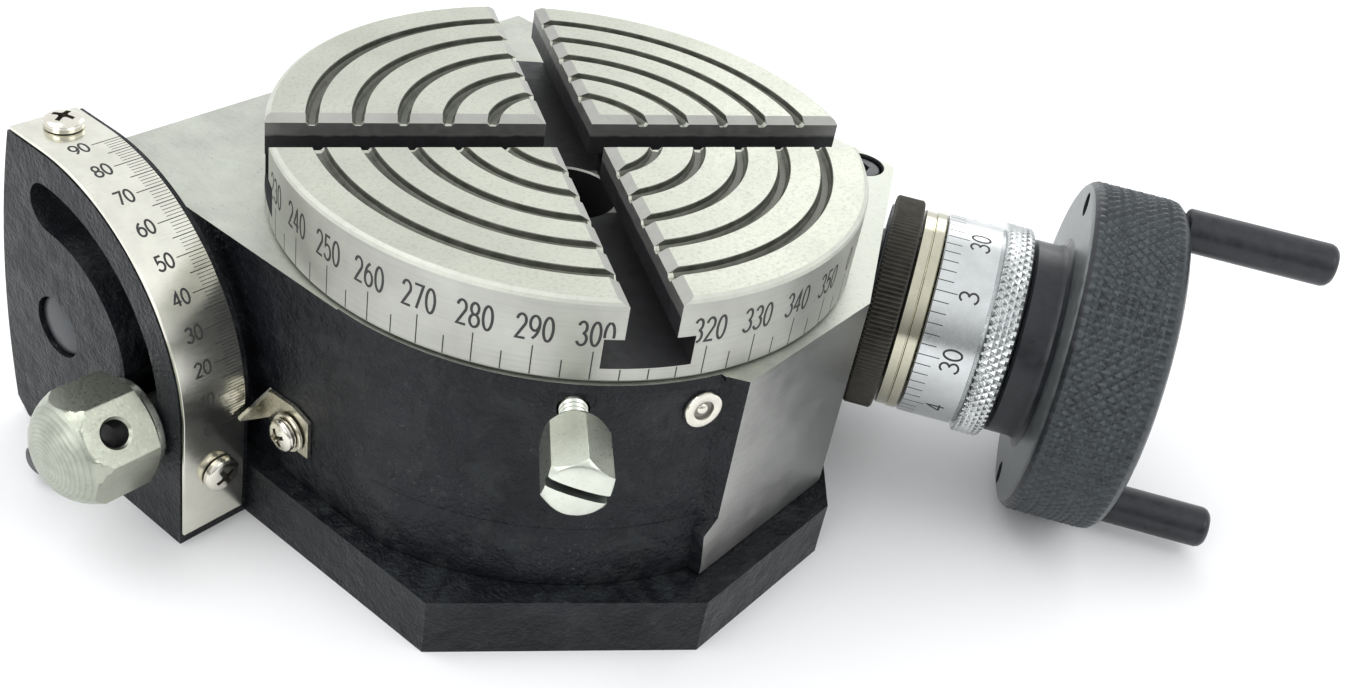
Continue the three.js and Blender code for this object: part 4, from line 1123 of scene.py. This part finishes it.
def handwheel():
    R = WHEEL_RADIUS
    count = 92
    low, high = WEB + 1.9, RIM_END - 2.4
    rows = int((high - low) / 0.36)
    band = [(R, s) for s in np.linspace(low, high, rows)]
    body = turned([(3.3, HUB), (HUB_RADIUS - 0.5, HUB), (HUB_RADIUS, HUB + 0.5), (HUB_RADIUS, WEB - 1.6),
                   (HUB_RADIUS + 0.3, WEB - 0.7), (HUB_RADIUS + 0.9, WEB - 0.2), (HUB_RADIUS + 1.8, WEB),
                   (R - 1.9, WEB), (R - 1.0, WEB + 0.35), (R - 0.35, WEB + 1.1), *band,
                   (R - 0.3, RIM_END - 1.6), (R - 1.1, RIM_END - 0.6), (R - 2.4, RIM_END), (22.8, RIM_END),
                   (22.2, RIM_END - 0.6), (21.5, WEB + 8), (20.5, WEB + 7.2), (10, WEB + 7), (9.5, WEB + 9),
                   (3.3, WEB + 9)], count * 7, diamond_knurl(R, count, 0.55, low - 0.01))
    cut(body, *[cylinder(2.2, WEB - 1, RIM_END - 8, at_handle(side), 32) for side in (0, 1)])
    paint(body, 1, lambda c, n: c.z < WEB + 0.5 and n.z < -0.6 and off_axis(c) > HUB_RADIUS + 1.5)
    paint(body, 2, lambda c, n: off_axis(c) > R - 0.8 and WEB + 1 < c.z < RIM_END - 1)
    finish(body, "handwheel_body", "worm", [OXIDE, WORN_OXIDE, OXIDE_MATT], "black_oxide", ["handwheel"],
           SHAFT, smooth=28)

    for side in (0, 1):
        r, start, tip = HANDLE_RADIUS, RIM_END + 0.3, HANDLE_TIPS[side]
        bar = turned([(0, WEB + 2), (1.9, WEB + 2), (1.9, start), (r - 0.25, start), (r, start + 0.25),
                      (r, tip - 1.5), (r - 0.25, tip - 0.75), (r - 0.8, tip - 0.2), (r - 1.5, tip),
                      (0, tip)], 64)
        finish(bar, f"handle_bar_{side + 1}", "worm", [OXIDE], "black_oxide", [f"handle_{side + 1}"],
               SHAFT @ at_handle(side))
    finish(washer(3.4, 7.5, 97.4, 98.6, 0.2), "wheel_washer", "worm", [OXIDE], "black_oxide",
           ["handwheel_washer"], SHAFT)
    nut = prism(hex_points(11), 98.9, 103.4)
    trim = turned([(0, 98.9), (5.6, 98.9), (6.4, 99.5), (6.4, 102.8), (5.6, 103.4), (0, 103.4)], 72)
    combine(nut, "INTERSECT", trim)
    cut(nut, cylinder(3.3, 98, 104))
    soften(nut, 0.12, 2, 30)
    finish(nut, "wheel_nut", "worm", [OXIDE], "black_oxide", ["handwheel_nut"], SHAFT)


# ---------- materials ----------

ENAMEL = enamel("enamel_black")
ENAMEL_EDGE = enamel("enamel_chipped_edge", worn=1.2)
ENAMEL_EDGE_LIGHT = enamel("enamel_edge", worn=1.0)
MILLED_TOP = milled("milled_top")
# The milled flat darkens towards +X with painted shade.
MILLED_FLAT = milled("milled_flat", (0.44, 0.44, 0.42), (3.0, 1.0, 0.12), 0.34, shade=(-12, 24))
TABLE_FACE = turned_steel("table_face")
RIM = rim_steel("table_rim")
GROOVE = dark_steel("groove_steel", (0.14, 0.145, 0.12), 0.5, 0.7)
# Slot material: near-black painted shade below the top few millimetres.
SLOT = slot_steel("slot_steel")
RIM_EDGE = bright_metal("rim_edge_steel", (0.60, 0.61, 0.54), 0.5, 0.1, 0.7, 0.15, metallic=0.6)
CHAMFER = bright_metal("chamfer_steel", (0.42, 0.42, 0.39), 0.5, 0.1, 0.6, metallic=0.7)
STRIP = bright_metal("strip_steel", (0.80, 0.79, 0.70), 0.20, 0.06, 1.0, 0.006, streak=(4.0, 0.3, 0.3))
NICKEL = bright_metal("nickel_plate", (0.80, 0.77, 0.68), 0.20, 0.1, 0.7)
NICKEL_WARM = bright_metal("nickel_plate_warm", (0.62, 0.60, 0.50), 0.30, 0.12, 0.8)
NICKEL_DARK = dark_steel("nickel_shadow", (0.26, 0.25, 0.22), 0.4, 0.8)
# Near-black painted shade for the bottoms of the cross recesses.
RECESS_SHADE = dark_steel("recess_painted_shade", (0.03, 0.03, 0.03))
PIN = dark_steel("pin_steel", (0.040, 0.044, 0.048), 0.34, 0.4)
OXIDE = dark_steel("black_oxide", (0.024, 0.026, 0.030), 0.34, 0.3)
OXIDE_MATT = dark_steel("black_oxide_matt", (0.042, 0.049, 0.053), 0.36, 0.5)
RING_BROWN = dark_steel("ring_brown", (0.060, 0.056, 0.046), 0.42, 0.5)
WORN_OXIDE = dark_steel("worn_oxide", (0.19, 0.205, 0.205), 0.36, 0.7)
# Dark painted shade for the inside of the clamp bolt's slot.
BOLT_SLOT_SHADE = dark_steel("bolt_slot_painted_shade", (0.10, 0.11, 0.10), 0.5, 0.5)
ZINC = bright_metal("zinc_plate", (0.72, 0.75, 0.66), 0.30, 0.08, 0.6, 0.006)
ZINC_DULL = bright_metal("zinc_plate_dull", (0.46, 0.48, 0.40), 0.34, 0.16, 0.5, 0.03)
ZINC_TURNED = ringed_zinc("zinc_plate_turned")
# Near-black painted shade inside the nut; the tilt stud uses it too.
NUT_BORE = dark_steel("nut_bore", (0.02, 0.02, 0.02), 0.5, 0.3)
CHROME = bright_metal("satin_chrome", (0.66, 0.68, 0.68), 0.24, 0.08, 0.5, 0.006)
COLLAR_STEEL = bright_metal("collar_steel", (0.58, 0.56, 0.44), 0.16, 0.06, 0.8, 0.01)
BRONZE = bright_metal("bronze", (0.55, 0.36, 0.16), 0.35, 0.1)
STEEL = bright_metal("plain_steel", (0.55, 0.55, 0.54), 0.32, 0.1)
INK = ink("engraving_black")

camera()
studio()
base_body()
degree_scale()
base_hardware()
housing_body()
pointer()
oiler()
lock_screw()
underside()
tilt_clamp()
clamp_bolt()
table_body()
table_marks()
bush()
dial()
handwheel()

KEPT = {
    "worm_wheel": BRONZE, "thrust_washer": BRONZE, "clamp_pad": BRONZE, "wheel_key": STEEL,
    "spindle_nut": OXIDE, "worm_shaft": STEEL, "dial_spring": STEEL, "handwheel_key": STEEL,
}
for name, material in KEPT.items():
    node = frame["nodes"][name]
    node.data.materials.clear()
    node.data.materials.append(material)
